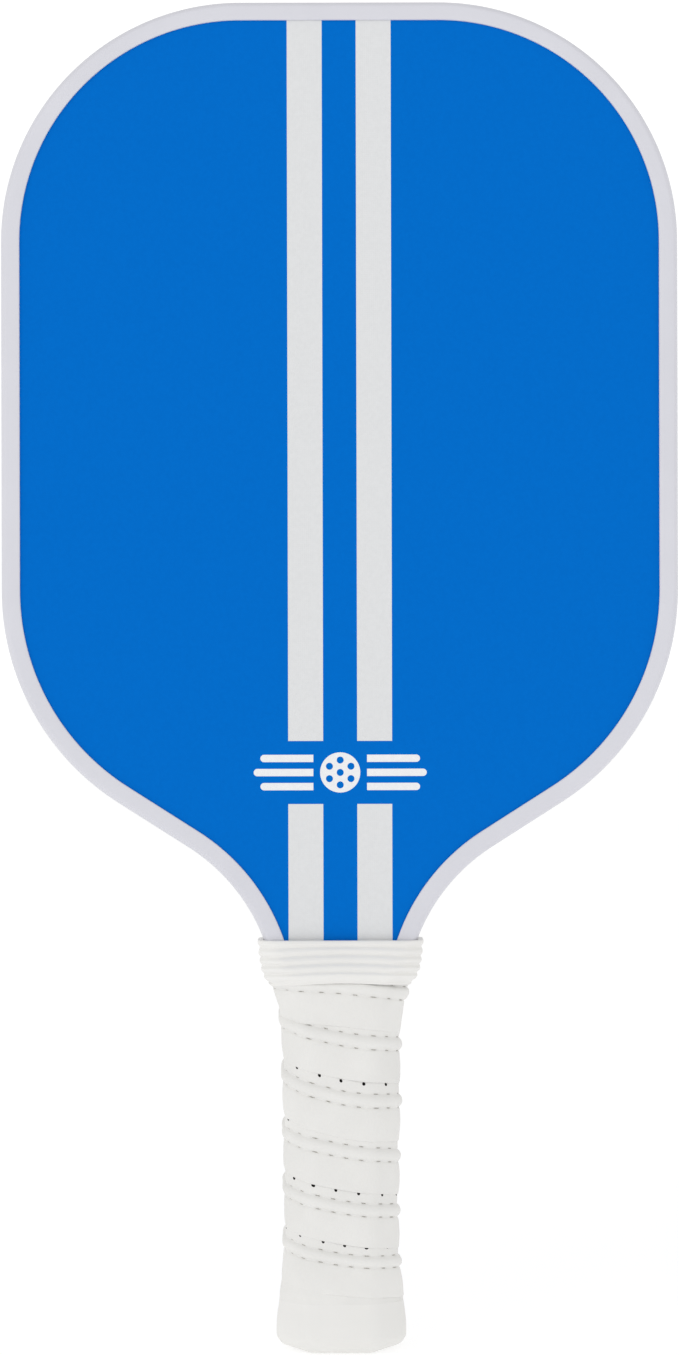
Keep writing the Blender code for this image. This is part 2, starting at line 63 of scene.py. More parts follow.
# --- The frame's own sizes ---
BODY = "root"
MM = 0.001
LENGTH = CAD_BOX[1].z
HALF_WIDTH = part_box("edge_guard")[1].x
GUARD_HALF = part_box("edge_guard")[1].y
GUARD_END_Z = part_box("edge_guard")[0].z
PRINT_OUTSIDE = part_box("back_graphic_film")[1].y
PRINT_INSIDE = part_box("back_graphic_film")[0].y
PRINT_END_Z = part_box("front_graphic_film")[0].z
PRINT_INSET = HALF_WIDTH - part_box("front_graphic_film")[1].x
COLLAR_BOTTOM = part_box("rubber_collar")[0].z
COLLAR_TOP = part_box("rubber_collar")[1].z
GRIP_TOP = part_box("grip_strip")[1].z
BADGE_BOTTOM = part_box("butt_cap_badge")[0].z
BADGE_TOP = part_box("butt_cap_badge")[1].z
BADGE_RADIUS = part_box("butt_cap_badge")[1].x
CAP_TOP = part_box("butt_cap")[1].z

# Blade outline, as tangent arcs.
TOP_RADIUS = 0.0715
SHOULDER_RADIUS = 0.0751
SHOULDER_Z = 0.2265
SHOULDER_SWEEP = math.radians(57.5)
FLANK_LENGTH = 0.0249
THROAT_RADIUS = 0.0561
ARC_STEP = math.radians(1.5)

# Edge guard section.
GUARD_LIP = 0.0058
GUARD_WALL = 0.0018
CREST_INSET = 0.0019
SIDE_HALF = 0.0036
ROUNDING_STEP = 9  # degrees between points round the outer edge
LIP_SHARES = (0.15, 0.3, 0.5, 0.75, 1.0)
LIP_EDGE_ANGLES = (30, 60, 90)
LIP_EDGE_RADIUS = 0.0004
LIP_SLOPE = 0.035
LIP_GAP = 0.00004

# Printed face.
STRIPE_CENTRE = 0.01028
STRIPE_HALF = 0.00521  # half of one stripe's width
EMBLEM_GAP = (0.1628, 0.1816)
INK_HEIGHT = 0.00004
BALL_RADIUS = 0.0060
BALL_HOLE_RADIUS = 0.00105
BALL_HOLE_CIRCLE = 0.0037
BALL_HOLES = 6
BALL_POINTS = 48
BALL_HOLE_POINTS = 24
BAR_END_POINTS = 13
INK_MERGE = 0.000001
BAR_REACH = (0.0238, 0.0258, 0.0238)
BAR_START = 0.0080
BAR_HALF_HEIGHT = 0.0011
BAR_PITCH = 0.0042

# Handle section: a rounded octagon, wider at the butt and below the throat.
HANDLE_HALF_WIDTH = 0.01525
HANDLE_HALF_DEPTH = 0.01225
HANDLE_CHAMFER = 0.0062
HANDLE_CORNER = 0.0050
FLARE_TOP = 0.0320
FLARE_PER_M = 4.84
THROAT_FLARE_Z = 0.0930
THROAT_FLARE_PER_M = 9.5

# How far the winding draws in on the narrow sides at each height: (z, left, right), in millimetres.
SIDE_DRAW = (
    (14.8, 0.00, 0.00),
    (21.0, 0.20, 0.05),
    (28.0, 0.45, 0.20),
    (45.0, 0.58, 0.28),
    (62.0, 0.32, 0.12),
    (72.0, 0.30, -0.15),
    (88.0, 0.10, -0.20),
    (97.0, -0.30, -0.30),
    (102.0, 0.10, -0.50),
    (106.0, -0.70, -0.80),
    (110.0, -1.20, -0.80),
    (114.0, -1.20, -0.80),
)
LEAST_COVER = 0.0006  # the least height that the drawing-in leaves
# Where the turns' lower edges are pressed flat into the turn below, in turns from the +X side.
FLAT_EDGE_TURNS = (0.29, 0.42, 0.60, 0.72)
FLAT_EDGE_DEPTH = 0.00026
FLAT_EDGE_REACH = 0.0016

# Butt cap: widest at CAP_GIRTH_Z, with a ledge that the wrap starts from and a spigot inside the wrap.
CAP_GIRTH = 0.00412
CAP_GIRTH_Z = 0.0072
CAP_EDGE_RADIUS = 0.0050
CAP_EDGE_STEP = 5  # degrees between rings round the lower edge
CAP_SIDE_FROM = CAP_EDGE_RADIUS + 0.0005
CAP_SIDE_RINGS = 22
CAP_LEDGE_SLOPE = -0.106
CAP_LEDGE = 0.0148
SPIGOT_MIDDLE = 0.0185
# The underside's rim lifts towards the sides, from the first of these distances to the second.
RIM_LIFT = 0.0010
RIM_LIFT_FROM = (0.0080, 0.0165)
GRIP_OVERLAP = 0.00010
GRIP_BOTTOM = CAP_LEDGE - GRIP_OVERLAP
CAP_FLOOR = 0.0034
SPIGOT_ROOM = (0.0139, 0.0109, 0.0052)
SPIGOT_ROOM_CORNER = 0.0012
FLOOR_RING = 0.004
CLOSING_RING = 0.0005
PARTING_Z = 0.0028
PARTING_DEPTH = 0.00012
PARTING_HALF_WIDTH = 0.00025
RECESS_RADIUS = 0.0078
RECESS_TOP = 0.00145
RECESS_EDGE = 0.0003
CAP_CORNER = 0.0014
CAP_AROUND = 192
# The badge's section: (share of its radius, height above its lowest point in millimetres).
BADGE_DOME = (
    (0.01, 0.00),
    (0.40, 0.02),
    (0.75, 0.10),
    (0.80, 0.22),
    (0.84, 0.10),
    (0.93, 0.14),
    (0.985, 0.30),
    (1.0, 0.45),
)
BADGE_AROUND = 96

# Grip strip. How it lies: (turns wound from the +X side, z of the rib's middle, z of the lower edge,
# stretch above the rib), in turns and millimetres. Turns run clockwise from above.
WINDING = (
    (0.00, 10.5, -1.3, 1.00),
    (0.25, 12.6, 0.9, 0.95),
    (0.50, 18.2, 6.2, 0.95),
    (0.75, 22.3, 10.6, 0.95),
    (1.00, 25.9, 15.1, 0.92),
    (1.25, 28.0, 17.4, 0.90),
    (1.50, 33.2, 19.6, 0.95),
    (2.00, 40.9, 29.4, 1.00),
    (2.25, 43.5, 32.5, 1.00),
    (2.50, 49.0, 37.2, 1.00),
    (3.00, 57.2, 45.6, 1.02),
    (3.25, 60.3, 48.6, 1.02),
    (3.50, 65.7, 53.9, 1.02),
    (4.00, 73.7, 61.6, 1.04),
    (4.25, 76.0, 63.9, 1.04),
    (4.50, 83.0, 70.9, 1.04),
    (5.00, 90.4, 78.8, 1.06),
    (5.25, 93.4, 81.6, 1.06),
    (5.50, 99.1, 87.3, 1.06),
    (6.00, 105.4, 93.6, 1.00),
    (6.25, 108.8, 97.0, 1.00),
    (6.50, 110.2, 98.6, 1.00),
    (6.75, 114.0, 102.2, 1.00),
)
STRIP_START = 0.02
STRIP_END_EDGE = 0.1018
STRIP_WIDTH = 0.0245
STRIP_STANDOFF = 0.002  # height at which lengths along the strip are measured
LEAST_STEP = 0.00003  # between points that are squeezed against the strip's cut edges
RIB_MIDDLE = 0.0118
STATION_STEP = 0.000425
STITCH_STATIONS = 12  # stations from one stitch to the next
HOLE_PITCH = 0.00727
HOLE_PHASE = 0.0060
HOLE_FROM_RIB = 0.0048
HOLE_RADIUS = 0.00052
HOLE_RING_SHARES = (0.0, 0.75, 1.0)
HOLE_DEPTH = 0.0011
HOLE_DIMPLE = 0.00006
GROOVE_FROM_RIB = 0.0020
PUCKER_DEPTH = 0.00006
PUCKER_REACH = 0.0011
# Height above the handle at distances across the strip from its lower edge, both in millimetres.
STRIP_PROFILE = (
    (0.0, 1.93), (0.10, 2.05), (0.28, 2.13), (0.6, 2.19), (1.2, 2.25), (2.0, 2.32), (3.2, 2.39),
    (4.6, 2.43), (6.0, 2.41), (7.2, 2.34), (8.2, 2.25), (8.9, 2.16), (9.3, 2.07), (9.5, 1.99),
    (9.65, 1.88), (9.8, 1.83), (9.95, 1.88), (10.1, 2.02), (10.3, 2.22), (10.6, 2.48),
    (11.0, 2.70), (11.4, 2.81), (11.8, 2.85), (12.2, 2.82), (12.6, 2.71), (13.0, 2.48),
    (13.3, 2.21), (13.5, 1.98), (13.65, 1.82), (13.8, 1.75), (13.95, 1.77), (14.1, 1.81),
    (14.3, 1.85), (14.7, 1.87), (15.2, 1.87), (15.5, 1.86), (15.86, 1.85), (16.23, 1.83),
    (16.6, 1.80), (16.97, 1.76), (17.34, 1.70), (17.7, 1.62), (18.6, 1.45), (20.2, 1.15),
    (22.2, 0.85), (24.5, 0.65),
)
STRIP_UNDERSIDE = ((0.0, 1.93), (4.0, 1.45), (8.2, 0.95), (8.8, 0.50), (16.0, 0.45), (24.5, 0.45))
STRIP_THINNEST = 0.0001
# Uneven swells left by winding by hand: (height in millimetres, per turn, per metre across, phase).
HAND_WAVES = ((0.07, 2.7, 30, 0.0), (0.05, 6.1, -55, 1.3), (0.03, 13.3, 110, 0.4))
HAND_WAVES_FROM = (0.0004, 0.002)
# The first turn lies flat, without its rib, and in line with the cap below it.
LEAD_IN_PROFILE = ((0.0, 1.95), (18.0, 1.80), (24.5, 0.65))
LEAD_IN_UNDERSIDE = 0.0004
LEAD_IN_HEIGHT = 0.00182
LEAD_IN_SLOPE = 0.06
LEAD_IN_RISE = 0.00034
LEAD_IN_RISE_TURNS = (0.27, 0.36, 0.62, 0.80)
LEAD_IN_RISE_Z = (0.0148, 0.0178)
LEAD_IN_RIB = (0.60, 0.90)
LEAD_IN_END = (0.9, 1.1)
PRESSED_HEIGHT = 0.0011
PRESSED_SLOPE = 1.15
STITCH_PIT = 0.00031
STITCH_HALF = 0.00095
STITCH_HALF_WIDTH = 0.00017
# Where the leather is pulled taut over the stitches, in turns from the +X side, and the depth left there.
TAUT_TURNS = (0.33, 0.41, 0.55, 0.68)
TAUT_DEPTH = 0.4
# Each stitch's thread. Its lift and sink are in radii, and its reach in half stitches.
THREAD_RADIUS = 0.00018
THREAD_LIFT = 0.4
THREAD_SINK = 1.6
THREAD_REACH = 1.1
THREAD_SIDES = 6
THREAD_RINGS = 9
THREAD_BELOW_TOP = 0.0003

# Collar: (z, half width, half depth, chamfer) up its outside and up its inside, in millimetres.
COLLAR_OUTSIDE = (
    (109.3, 20.9, 15.2, 7.6),
    (110.4, 21.9, 15.6, 7.8),
    (112.2, 23.1, 15.4, 7.5),
    (114.4, 23.85, 14.2, 6.5),
    (118.0, 24.45, 12.0, 4.8),
    (122.2, 24.85, 10.0, 3.2),
)
COLLAR_INSIDE = (
    (109.3, 20.2, 14.6, 7.3),
    (111.2, 19.95, 13.85, 6.9),
    (113.8, 20.75, 9.6, 2.0),
    (115.2, 21.0, 8.65, 2.0),
    (118.0, 21.75, 8.65, 2.0),
    (122.2, 23.15, 8.65, 2.0),
)
COLLAR_AROUND = 240
COLLAR_RINGS = 100
COLLAR_CORNER = 0.0075
CORNER_PER_CHAMFER = 1.6
GROOVE_PITCH = 0.00248
FIRST_GROOVE_BELOW_TOP = 0.0019
COLLAR_GROOVES = 5
GROOVE_DEPTH = 0.00050
GROOVE_SHARPNESS = 1.6
COLLAR_ARCH = 0.00055
COLLAR_LEFT_DROP = 0.0003
COLLAR_LEVEL_TOP = 0.004
LIP_ROLL = 0.0005
LIP_ROLL_SHARE = 0.6

# Drawing marks on the wire, stretched along it.
ALONG_WIRE = (0.1, 1, 1)

# Camera and light.
CAMERA_DISTANCE = 1.15
CAMERA_X = -0.00015
CAMERA_Z = 0.2005
CAMERA_ROLL = math.radians(0.125)
FRAME_HEIGHT = 0.4065
SENSOR = 36.0
CAMERA_CLIP = (0.01, 200.0)
FLOOR_HALF = 40.0
FLOOR_DROP = 0.0001
FLOOR_PALE = (0.60, 0.60, 0.60, 1.0)
FLOOR_DARK = (0.59, 0.59, 0.59, 1.0)
FLOOR_ROUGHNESS = 0.9
FLOOR_GLOW = 0.52
SEEN_STRENGTH = 1.1
LIT_STRENGTH = 0.90
# Share of the tent's light lost on its right, left and top: (axis, way, share), where less than 0 adds light.
# Each fades in between these parts of a unit direction.
CARDS = (("X", 1.0, 0.08), ("X", -1.0, -0.05), ("Z", 1.0, 0.18))
CARD_EDGES = (0.5, 0.95)
# Softboxes: (name, place, target, size, watts).
SOFTBOXES = (
    ("key_softbox", (-1.2, -1.5, 0.75), (0, 0, LENGTH / 2), 1.6, 3.8),
    ("fill_softbox", (1.3, -1.1, 0.15), (0, 0, 0.06), 1.4, 1.6),
)


# --- Materials ---


def linear(channel):
    return channel / 12.92 if channel <= 0.04045 else ((channel + 0.055) / 1.055) ** 2.4


def rgb(red, green, blue):
    """A linear colour from 8-bit sRGB values."""
    return (*(linear(v / 255) for v in (red, green, blue)), 1.0)


def new_material(name, colour, roughness, specular=0.5, metallic=0.0):
    material = bpy.data.materials.new(name)
    material.use_nodes = True
    shader = material.node_tree.nodes["Principled BSDF"]
    shader.inputs["Base Color"].default_value = colour
    shader.inputs["Roughness"].default_value = roughness
    shader.inputs["Specular IOR Level"].default_value = specular
    shader.inputs["Metallic"].default_value = metallic
    return material


def node(owner, kind, **values):
    """A new node of a material or the world, with its settings and inputs given by name."""
    made = owner.node_tree.nodes.new(kind)
    for key, value in values.items():
        if hasattr(made, key):
            setattr(made, key, value)
        else:
            made.inputs[key.replace("_", " ")].default_value = value
    return made


def link(owner, source, target):
    """Joins two sockets of a material or the world."""
    owner.node_tree.links.new(source, target)


def object_space(material):
    return node(material, "ShaderNodeTexCoord").outputs["Object"]


def noise(material, scale, detail=3.0, stretch=None):
    """Noise in object space, with scale in features per metre."""
    texture = node(material, "ShaderNodeTexNoise", Scale=scale, Detail=detail)
    where = object_space(material)
    if stretch:
        mapping = node(material, "ShaderNodeMapping", Scale=stretch)
        link(material, where, mapping.inputs["Vector"])
        where = mapping.outputs["Vector"]
    link(material, where, texture.inputs["Vector"])
    return texture.outputs["Fac"]


def cells(material, scale):
    """Distance from the edge of the nearest cell, with scale in cells per metre."""
    texture = node(material, "ShaderNodeTexVoronoi", feature="DISTANCE_TO_EDGE", Scale=scale)
    link(material, object_space(material), texture.inputs["Vector"])
    return texture.outputs["Distance"]


def spread(owner, value, low, high, to_low, to_high, curve="LINEAR"):
    """The value carried from one range to another."""
    ends = {"From_Min": low, "From_Max": high, "To_Min": to_low, "To_Max": to_high}
    made = node(owner, "ShaderNodeMapRange", interpolation_type=curve, **ends)
    link(owner, value, made.inputs["Value"])
    return made.outputs["Result"]


def socket_of(sockets, name, kind):
    """A mix node has one socket of each name for each kind of value."""
    return next(socket for socket in sockets if socket.name == name and socket.type == kind)


def tint(material, factor, other):
    """Mixes another colour into the base colour by a factor."""
    shader = material.node_tree.nodes["Principled BSDF"]
    base = shader.inputs["Base Color"]
    mix = node(material, "ShaderNodeMix", data_type="RGBA")
    colour = socket_of(mix.inputs, "A", "RGBA")
    if base.links:
        link(material, base.links[0].from_socket, colour)
    else:
        colour.default_value = base.default_value
    socket_of(mix.inputs, "B", "RGBA").default_value = other
    link(material, factor, socket_of(mix.inputs, "Factor", "VALUE"))
    link(material, socket_of(mix.outputs, "Result", "RGBA"), base)


def mottle(material, value, dark, low=0.35, high=0.75, most=1.0):
    """Patches of a second colour where the value is high."""
    tint(material, spread(material, value, low, high, 0.0, most), dark)


def relief(material, height, distance, strength=1.0):
    """Adds a bump of this depth in metres under any earlier one."""
    shader = material.node_tree.nodes["Principled BSDF"]
    bump = node(material, "ShaderNodeBump", Distance=distance, Strength=strength)
    link(material, height, bump.inputs["Height"])
    if shader.inputs["Normal"].links:
        link(material, shader.inputs["Normal"].links[0].from_socket, bump.inputs["Normal"])
    link(material, bump.outputs["Normal"], shader.inputs["Normal"])


def vary_roughness(material, value, low, high):
    shader = material.node_tree.nodes["Principled BSDF"]
    link(material, spread(material, value, 0.3, 0.7, low, high), shader.inputs["Roughness"])


def moulded_plastic(name, colour, dark, roughness, grain, specular=0.4):
    """Injection-moulded skin: fine even grain, faint flow variation, a little uneven polish."""
    material = new_material(name, colour, roughness, specular)
    mottle(material, noise(material, 45), dark)
    vary_roughness(material, noise(material, 160), roughness - 0.05, roughness + 0.07)
    relief(material, noise(material, grain, 4.0), 0.00002)
    return material


def print_ink(name, colour, dark):
    """Ink under a matt clear coat that takes the peel-ply's fine cloth pattern."""
    material = new_material(name, colour, 0.5, 0.02)
    mottle(material, noise(material, 900, 4.0), dark, high=0.7)
    vary_roughness(material, noise(material, 60), 0.44, 0.56)
    where = object_space(material)
    for direction in ("X", "Z"):
        threads = node(
            material, "ShaderNodeTexWave", bands_direction=direction, Scale=500.0, Distortion=0.6
        )
        link(material, where, threads.inputs["Vector"])
        relief(material, threads.outputs["Fac"], 0.000006)
    relief(material, noise(material, 3500, 4.0), 0.000008)
    return material


def grip_leather(name, colour, dark, roughness):
    """Matt synthetic leather: pebbled grain, fine pores, slight handling variation."""
    material = new_material(name, colour, roughness, 0.3)
    shader = material.node_tree.nodes["Principled BSDF"]
    shader.inputs["Sheen Weight"].default_value = 0.06
    shader.inputs["Sheen Roughness"].default_value = 0.45
    mottle(material, noise(material, 70), dark)
    vary_roughness(material, noise(material, 300), roughness - 0.06, roughness + 0.08)
    pebbles = spread(material, cells(material, 1300), 0.0, 0.25, 0.0, 1.0)
    relief(material, pebbles, 0.00002)
    relief(material, noise(material, 3800, 3.0), 0.000012)
    return material


def twisted_thread(name, colour, dark):
    """Plied thread: slanting strands, with painted shade between them where their bump dips."""
    material = new_material(name, colour, 0.75, 0.25)
    twist = node(material, "ShaderNodeTexWave", bands_direction="DIAGONAL", Scale=900.0, Distortion=1.0)
    link(material, object_space(material), twist.inputs["Vector"])
    # Painted shade: the dark colour lies in the low parts of the strands' bump.
    tint(material, spread(material, twist.outputs["Fac"], 0.0, 0.6, 1.0, 0.0), dark)
    relief(material, twist.outputs["Fac"], 0.00005)
    return material


def laminate(name, colour, dark, roughness, weave_scale):
    """Woven glass in resin, or a cast film with a faint cloth pattern."""
    material = new_material(name, colour, roughness, 0.4)
    where = object_space(material)
    weave = node(material, "ShaderNodeTexChecker", Scale=weave_scale)
    link(material, where, weave.inputs["Vector"])
    mottle(material, weave.outputs["Fac"], dark, 0.0, 1.0, 0.5)
    mottle(material, noise(material, 300), dark, 0.4, 0.7, 0.4)
    vary_roughness(material, noise(material, 200), roughness - 0.08, roughness + 0.08)
    relief(material, weave.outputs["Fac"], 0.00003)
    return material


def foam(name, colour, dark, roughness, cell_scale):
    """Small round cells, raised in their middles, with painted shade darkening them along their edges where
    the bump is lowest.
    """
    material = new_material(name, colour, roughness, 0.2)
    # Painted shade: the dark colour follows the cells' edges, which are the low parts of the bump below.
    tint(material, spread(material, cells(material, cell_scale), 0.0, 0.2, 1.0, 0.0), dark)
    vary_roughness(material, noise(material, 400), roughness - 0.05, roughness + 0.05)
    relief(material, cells(material, cell_scale), 0.0001)
    return material


def drawn_steel(name, colour, dark):
    """Wire with faint drawing marks along it."""
    material = new_material(name, colour, 0.32, 0.5, metallic=1.0)
    mottle(material, noise(material, 1500, 2.0, ALONG_WIRE), dark, high=0.7)
    vary_roughness(material, noise(material, 900), 0.24, 0.42)
    relief(material, noise(material, 4000, 2.0, ALONG_WIRE), 0.00001)
    return material


def make_materials():
    return {
        "guard": moulded_plastic("guard_tpu", rgb(214, 214, 221), rgb(210, 210, 217), 0.42, 5200),
        "blue": print_ink("blue_ink", rgb(0, 107, 200), rgb(0, 105, 197)),
        "stripe": print_ink("stripe_ink", rgb(221, 222, 223), rgb(218, 219, 220)),
        "emblem": print_ink("emblem_ink", rgb(236, 237, 238), rgb(231, 232, 234)),
        "leather": grip_leather("grip_leather", rgb(231, 230, 227), rgb(226, 225, 222), 0.60),
        # The perforations' inside faces take this near-black colour as painted shade inside the holes.
        "painted_hole_shade": foam("perforation_painted_shade", rgb(60, 58, 56), rgb(25, 24, 23), 0.9, 4000),
        # The thread is set well darker than the leather, partly as its own tone and partly as painted shade
        # of the slots it sits in.
        "thread": twisted_thread("grip_thread_tone_and_painted_shade", rgb(188, 185, 179), rgb(146, 143, 137)),
        "collar": moulded_plastic("collar_rubber", rgb(236, 235, 232), rgb(232, 231, 228), 0.55, 4200, 0.3),
        "cap": moulded_plastic("cap_plastic", rgb(232, 231, 228), rgb(229, 228, 225), 0.56, 3600, 0.3),
        "badge": moulded_plastic("badge_film", rgb(205, 207, 211), rgb(198, 200, 205), 0.22, 2500, 0.5),
        "core": laminate("core_polypropylene", rgb(219, 222, 217), rgb(203, 207, 203), 0.5, 700),
        "bond": laminate("bond_film", rgb(230, 224, 204), rgb(216, 209, 186), 0.45, 900),
        "sheet": laminate("fibreglass_sheet", rgb(209, 214, 199), rgb(190, 197, 180), 0.4, 1400),
        "foam_tape": foam("foam_tape", rgb(52, 52, 54), rgb(30, 30, 31), 0.85, 3000),
        "former": foam("handle_former", rgb(58, 58, 60), rgb(34, 34, 35), 0.75, 1800),
        "adhesive": laminate("double_sided_tape", rgb(236, 231, 208), rgb(221, 213, 184), 0.45, 1100),
        "tape": laminate("finishing_tape", rgb(237, 237, 235), rgb(224, 224, 221), 0.5, 1500),
        "steel": drawn_steel("staple_wire", rgb(205, 205, 207), rgb(168, 168, 171)),
    }


# --- Mesh helpers ---


def add_piece(mesh, replaced=(), smooth=True):
    """A finished piece that rides on the paddle, named after its mesh."""
    obj = bpy.data.objects.new(mesh.name, mesh)
    bpy.context.scene.collection.objects.link(obj)
    if smooth:
        mesh.shade_smooth()
        mesh.set_sharp_from_angle(angle=math.radians(50))
    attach(obj, BODY)
    if replaced:
        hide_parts(*replaced)
    return obj


def mesh_of(name, points, faces, materials, indices=None):
    mesh = bpy.data.meshes.new(name)
    mesh.from_pydata([tuple(p) for p in points], [], [tuple(f) for f in faces])
    for material in materials:
        mesh.materials.append(material)
    if indices is not None:
        mesh.polygons.foreach_set("material_index", indices)
    shape = bmesh.new()
    shape.from_mesh(mesh)
    finish_shape(shape, mesh)
    return mesh


def finish_shape(shape, mesh):
    """Turns a closed shape's faces outwards and writes it to its mesh."""
    bmesh.ops.recalc_face_normals(shape, faces=shape.faces)
    if shape.calc_volume(signed=True) < 0:
        bmesh.ops.reverse_faces(shape, faces=shape.faces)
    shape.to_mesh(mesh)
    shape.free()


def grid_faces(rows, columns, rows_meet=False, columns_meet=False):
    """Quads over a grid of points, stored row by row."""
    i = np.arange(rows if rows_meet else rows - 1)
    j = np.arange(columns if columns_meet else columns - 1)
    i, j = (a.ravel() for a in np.meshgrid(i, j, indexing="ij"))
    up, along = (i + 1) % rows, (j + 1) % columns
    return np.stack([i * columns + j, i * columns + along, up * columns + along, up * columns + j], axis=1)


def ring(x, y, z):
    """Points from arrays of x and y, and z as an array or one number."""
    return np.stack([x, y, np.broadcast_to(z, x.shape)], axis=-1)


def round_ring(radius, z, angles):
    return ring(radius * np.cos(angles), radius * np.sin(angles), z)


def capped_grid(rows, columns):
    """Faces of a closed tube of points, stored ring by ring, with its first and last rings filled."""
    faces = grid_faces(rows, columns, columns_meet=True).tolist()
    return [*faces, list(range(columns)), list(range((rows - 1) * columns, rows * columns))]


def interpolate(x, table, column):
    """A value read between the rows of a table, in straight lines."""
    xs = [row[0] for row in table]
    return np.interp(x, xs, [row[column] for row in table])


def smooth_curve(x, table, column):
    """A smooth curve through a table's points, as a cubic with Catmull-Rom slopes."""
    xs = np.array([row[0] for row in table])
    ys = np.array([row[column] for row in table])
    slopes = np.gradient(ys, xs)
    x = np.clip(x, xs[0], xs[-1])
    k = np.clip(np.searchsorted(xs, x) - 1, 0, len(xs) - 2)
    width = xs[k + 1] - xs[k]
    t = (x - xs[k]) / width
    start = (1 + 2 * t) * (1 - t) ** 2 * ys[k] + t * (1 - t) ** 2 * width * slopes[k]
    return start + t**2 * (3 - 2 * t) * ys[k + 1] + t**2 * (t - 1) * width * slopes[k + 1]


def fade(x, start, end):
    """0 before start, 1 after end, smooth between."""
    t = np.clip((x - start) / (end - start), 0, 1)
    return t * t * (3 - 2 * t)


# --- Blade ---


def arc(centre, radius, start, end):
    steps = max(1, round(abs(end - start) / ARC_STEP))
    angles = [start + (end - start) * i / steps for i in range(steps + 1)]
    return [(centre[0] + radius * math.cos(a), centre[1] + radius * math.sin(a)) for a in angles]


def throat_centre():
    sin, cos = math.sin(SHOULDER_SWEEP), math.cos(SHOULDER_SWEEP)
    x = HALF_WIDTH - SHOULDER_RADIUS * (1 - cos) - FLANK_LENGTH * sin + THROAT_RADIUS * cos
    z = SHOULDER_Z - SHOULDER_RADIUS * sin - FLANK_LENGTH * cos - THROAT_RADIUS * sin
    return x, z


def throat_angle(z):
    return math.pi - math.asin((z - throat_centre()[1]) / THROAT_RADIUS)


def blade_side(inset, end_z):
    """The right-hand side of the blade from its top to the throat, moved in from the outer outline."""
    top = (HALF_WIDTH - TOP_RADIUS, LENGTH - TOP_RADIUS)
    shoulder = (HALF_WIDTH - SHOULDER_RADIUS, SHOULDER_Z)
    side = arc(top, TOP_RADIUS - inset, math.pi / 2, 0)
    side += arc(shoulder, SHOULDER_RADIUS - inset, 0, -SHOULDER_SWEEP)
    side += arc(throat_centre(), THROAT_RADIUS + inset, math.pi - SHOULDER_SWEEP, throat_angle(end_z))
    return side


def guard_section():
    """(inset, y) points round the U moulding, from the middle of its outer side."""
    rounding = [math.radians(a) for a in range(0, 91, ROUNDING_STEP)]
    half = [
        (CREST_INSET * (1 - math.cos(a)), SIDE_HALF + (GUARD_HALF - SIDE_HALF) * math.sin(a))
        for a in rounding
    ]
    flat = GUARD_LIP - LIP_EDGE_RADIUS
    for share in LIP_SHARES:
        inset = CREST_INSET + (flat - CREST_INSET) * share
        half.append((inset, GUARD_HALF - LIP_SLOPE * (inset - CREST_INSET) * share))
    edge_y = half[-1][1] - LIP_EDGE_RADIUS
    for angle in map(math.radians, LIP_EDGE_ANGLES):
        half.append((flat + LIP_EDGE_RADIUS * math.sin(angle), edge_y + LIP_EDGE_RADIUS * math.cos(angle)))
    low = PRINT_OUTSIDE + LIP_GAP
    half += [(GUARD_LIP, low), (GUARD_WALL, low)]
    return half + [(inset, -y) for inset, y in reversed(half)]


def make_guard(materials):
    section = guard_section()
    lines = []
    for inset, _ in section:
        side = blade_side(inset, GUARD_END_Z)
        lines.append([(-x, z) for x, z in reversed(side)] + side)
    points = []
    for places in zip(*lines):
        points += [(x, y, z) for (x, z), (_, y) in zip(places, section)]
    faces = capped_grid(len(lines[0]), len(section))
    mesh = mesh_of("guard_moulding", points, faces, [materials["guard"]])
    add_piece(mesh, ["edge_guard"])


def print_mesh(name, side, materials):
    """A printed film cut along the stripes' edges, so that each ink is its own faces."""
    outline = blade_side(PRINT_INSET, PRINT_END_Z)
    outline += [(-x, z) for x, z in reversed(outline)]
    shape = bmesh.new()
    shape.faces.new([shape.verts.new((x, side * PRINT_INSIDE, z)) for x, z in outline])
    edges = [sign * (STRIPE_CENTRE + way * STRIPE_HALF) for sign in (-1, 1) for way in (-1, 1)]
    cuts = [((x, 0, 0), (1, 0, 0)) for x in edges] + [((0, 0, z), (0, 0, 1)) for z in EMBLEM_GAP]
    for place, normal in cuts:
        everything = shape.verts[:] + shape.edges[:] + shape.faces[:]
        bmesh.ops.bisect_plane(shape, geom=everything, plane_co=place, plane_no=normal)
    for face in shape.faces:
        centre = face.calc_center_median()
        on_stripe = abs(abs(centre.x) - STRIPE_CENTRE) < STRIPE_HALF
        face.material_index = int(on_stripe and not EMBLEM_GAP[0] < centre.z < EMBLEM_GAP[1])
    made = bmesh.ops.extrude_face_region(shape, geom=shape.faces[:])["geom"]
    lifted = [item for item in made if isinstance(item, bmesh.types.BMVert)]
    bmesh.ops.translate(shape, verts=lifted, vec=(0, side * (PRINT_OUTSIDE - PRINT_INSIDE), 0))
    mesh = bpy.data.meshes.new(name)
    finish_shape(shape, mesh)
    mesh.materials.append(materials["blue"])
    mesh.materials.append(materials["stripe"])
    return mesh


def circle(x, z, radius, count):
    return [
        (x + radius * math.cos(2 * math.pi * i / count), z + radius * math.sin(2 * math.pi * i / count))
        for i in range(count)
    ]


def bar(low_x, high_x, z):
    """A bar with one square end and one round end."""
    half = BAR_HALF_HEIGHT
    angles = [math.pi / 2 - math.pi * i / (BAR_END_POINTS - 1) for i in range(BAR_END_POINTS)]
    way = math.copysign(1, high_x - low_x)
    tip = [(high_x - way * half + way * half * math.cos(a), z + half * math.sin(a)) for a in angles]
    return [(low_x, z - half), (low_x, z + half), *tip]


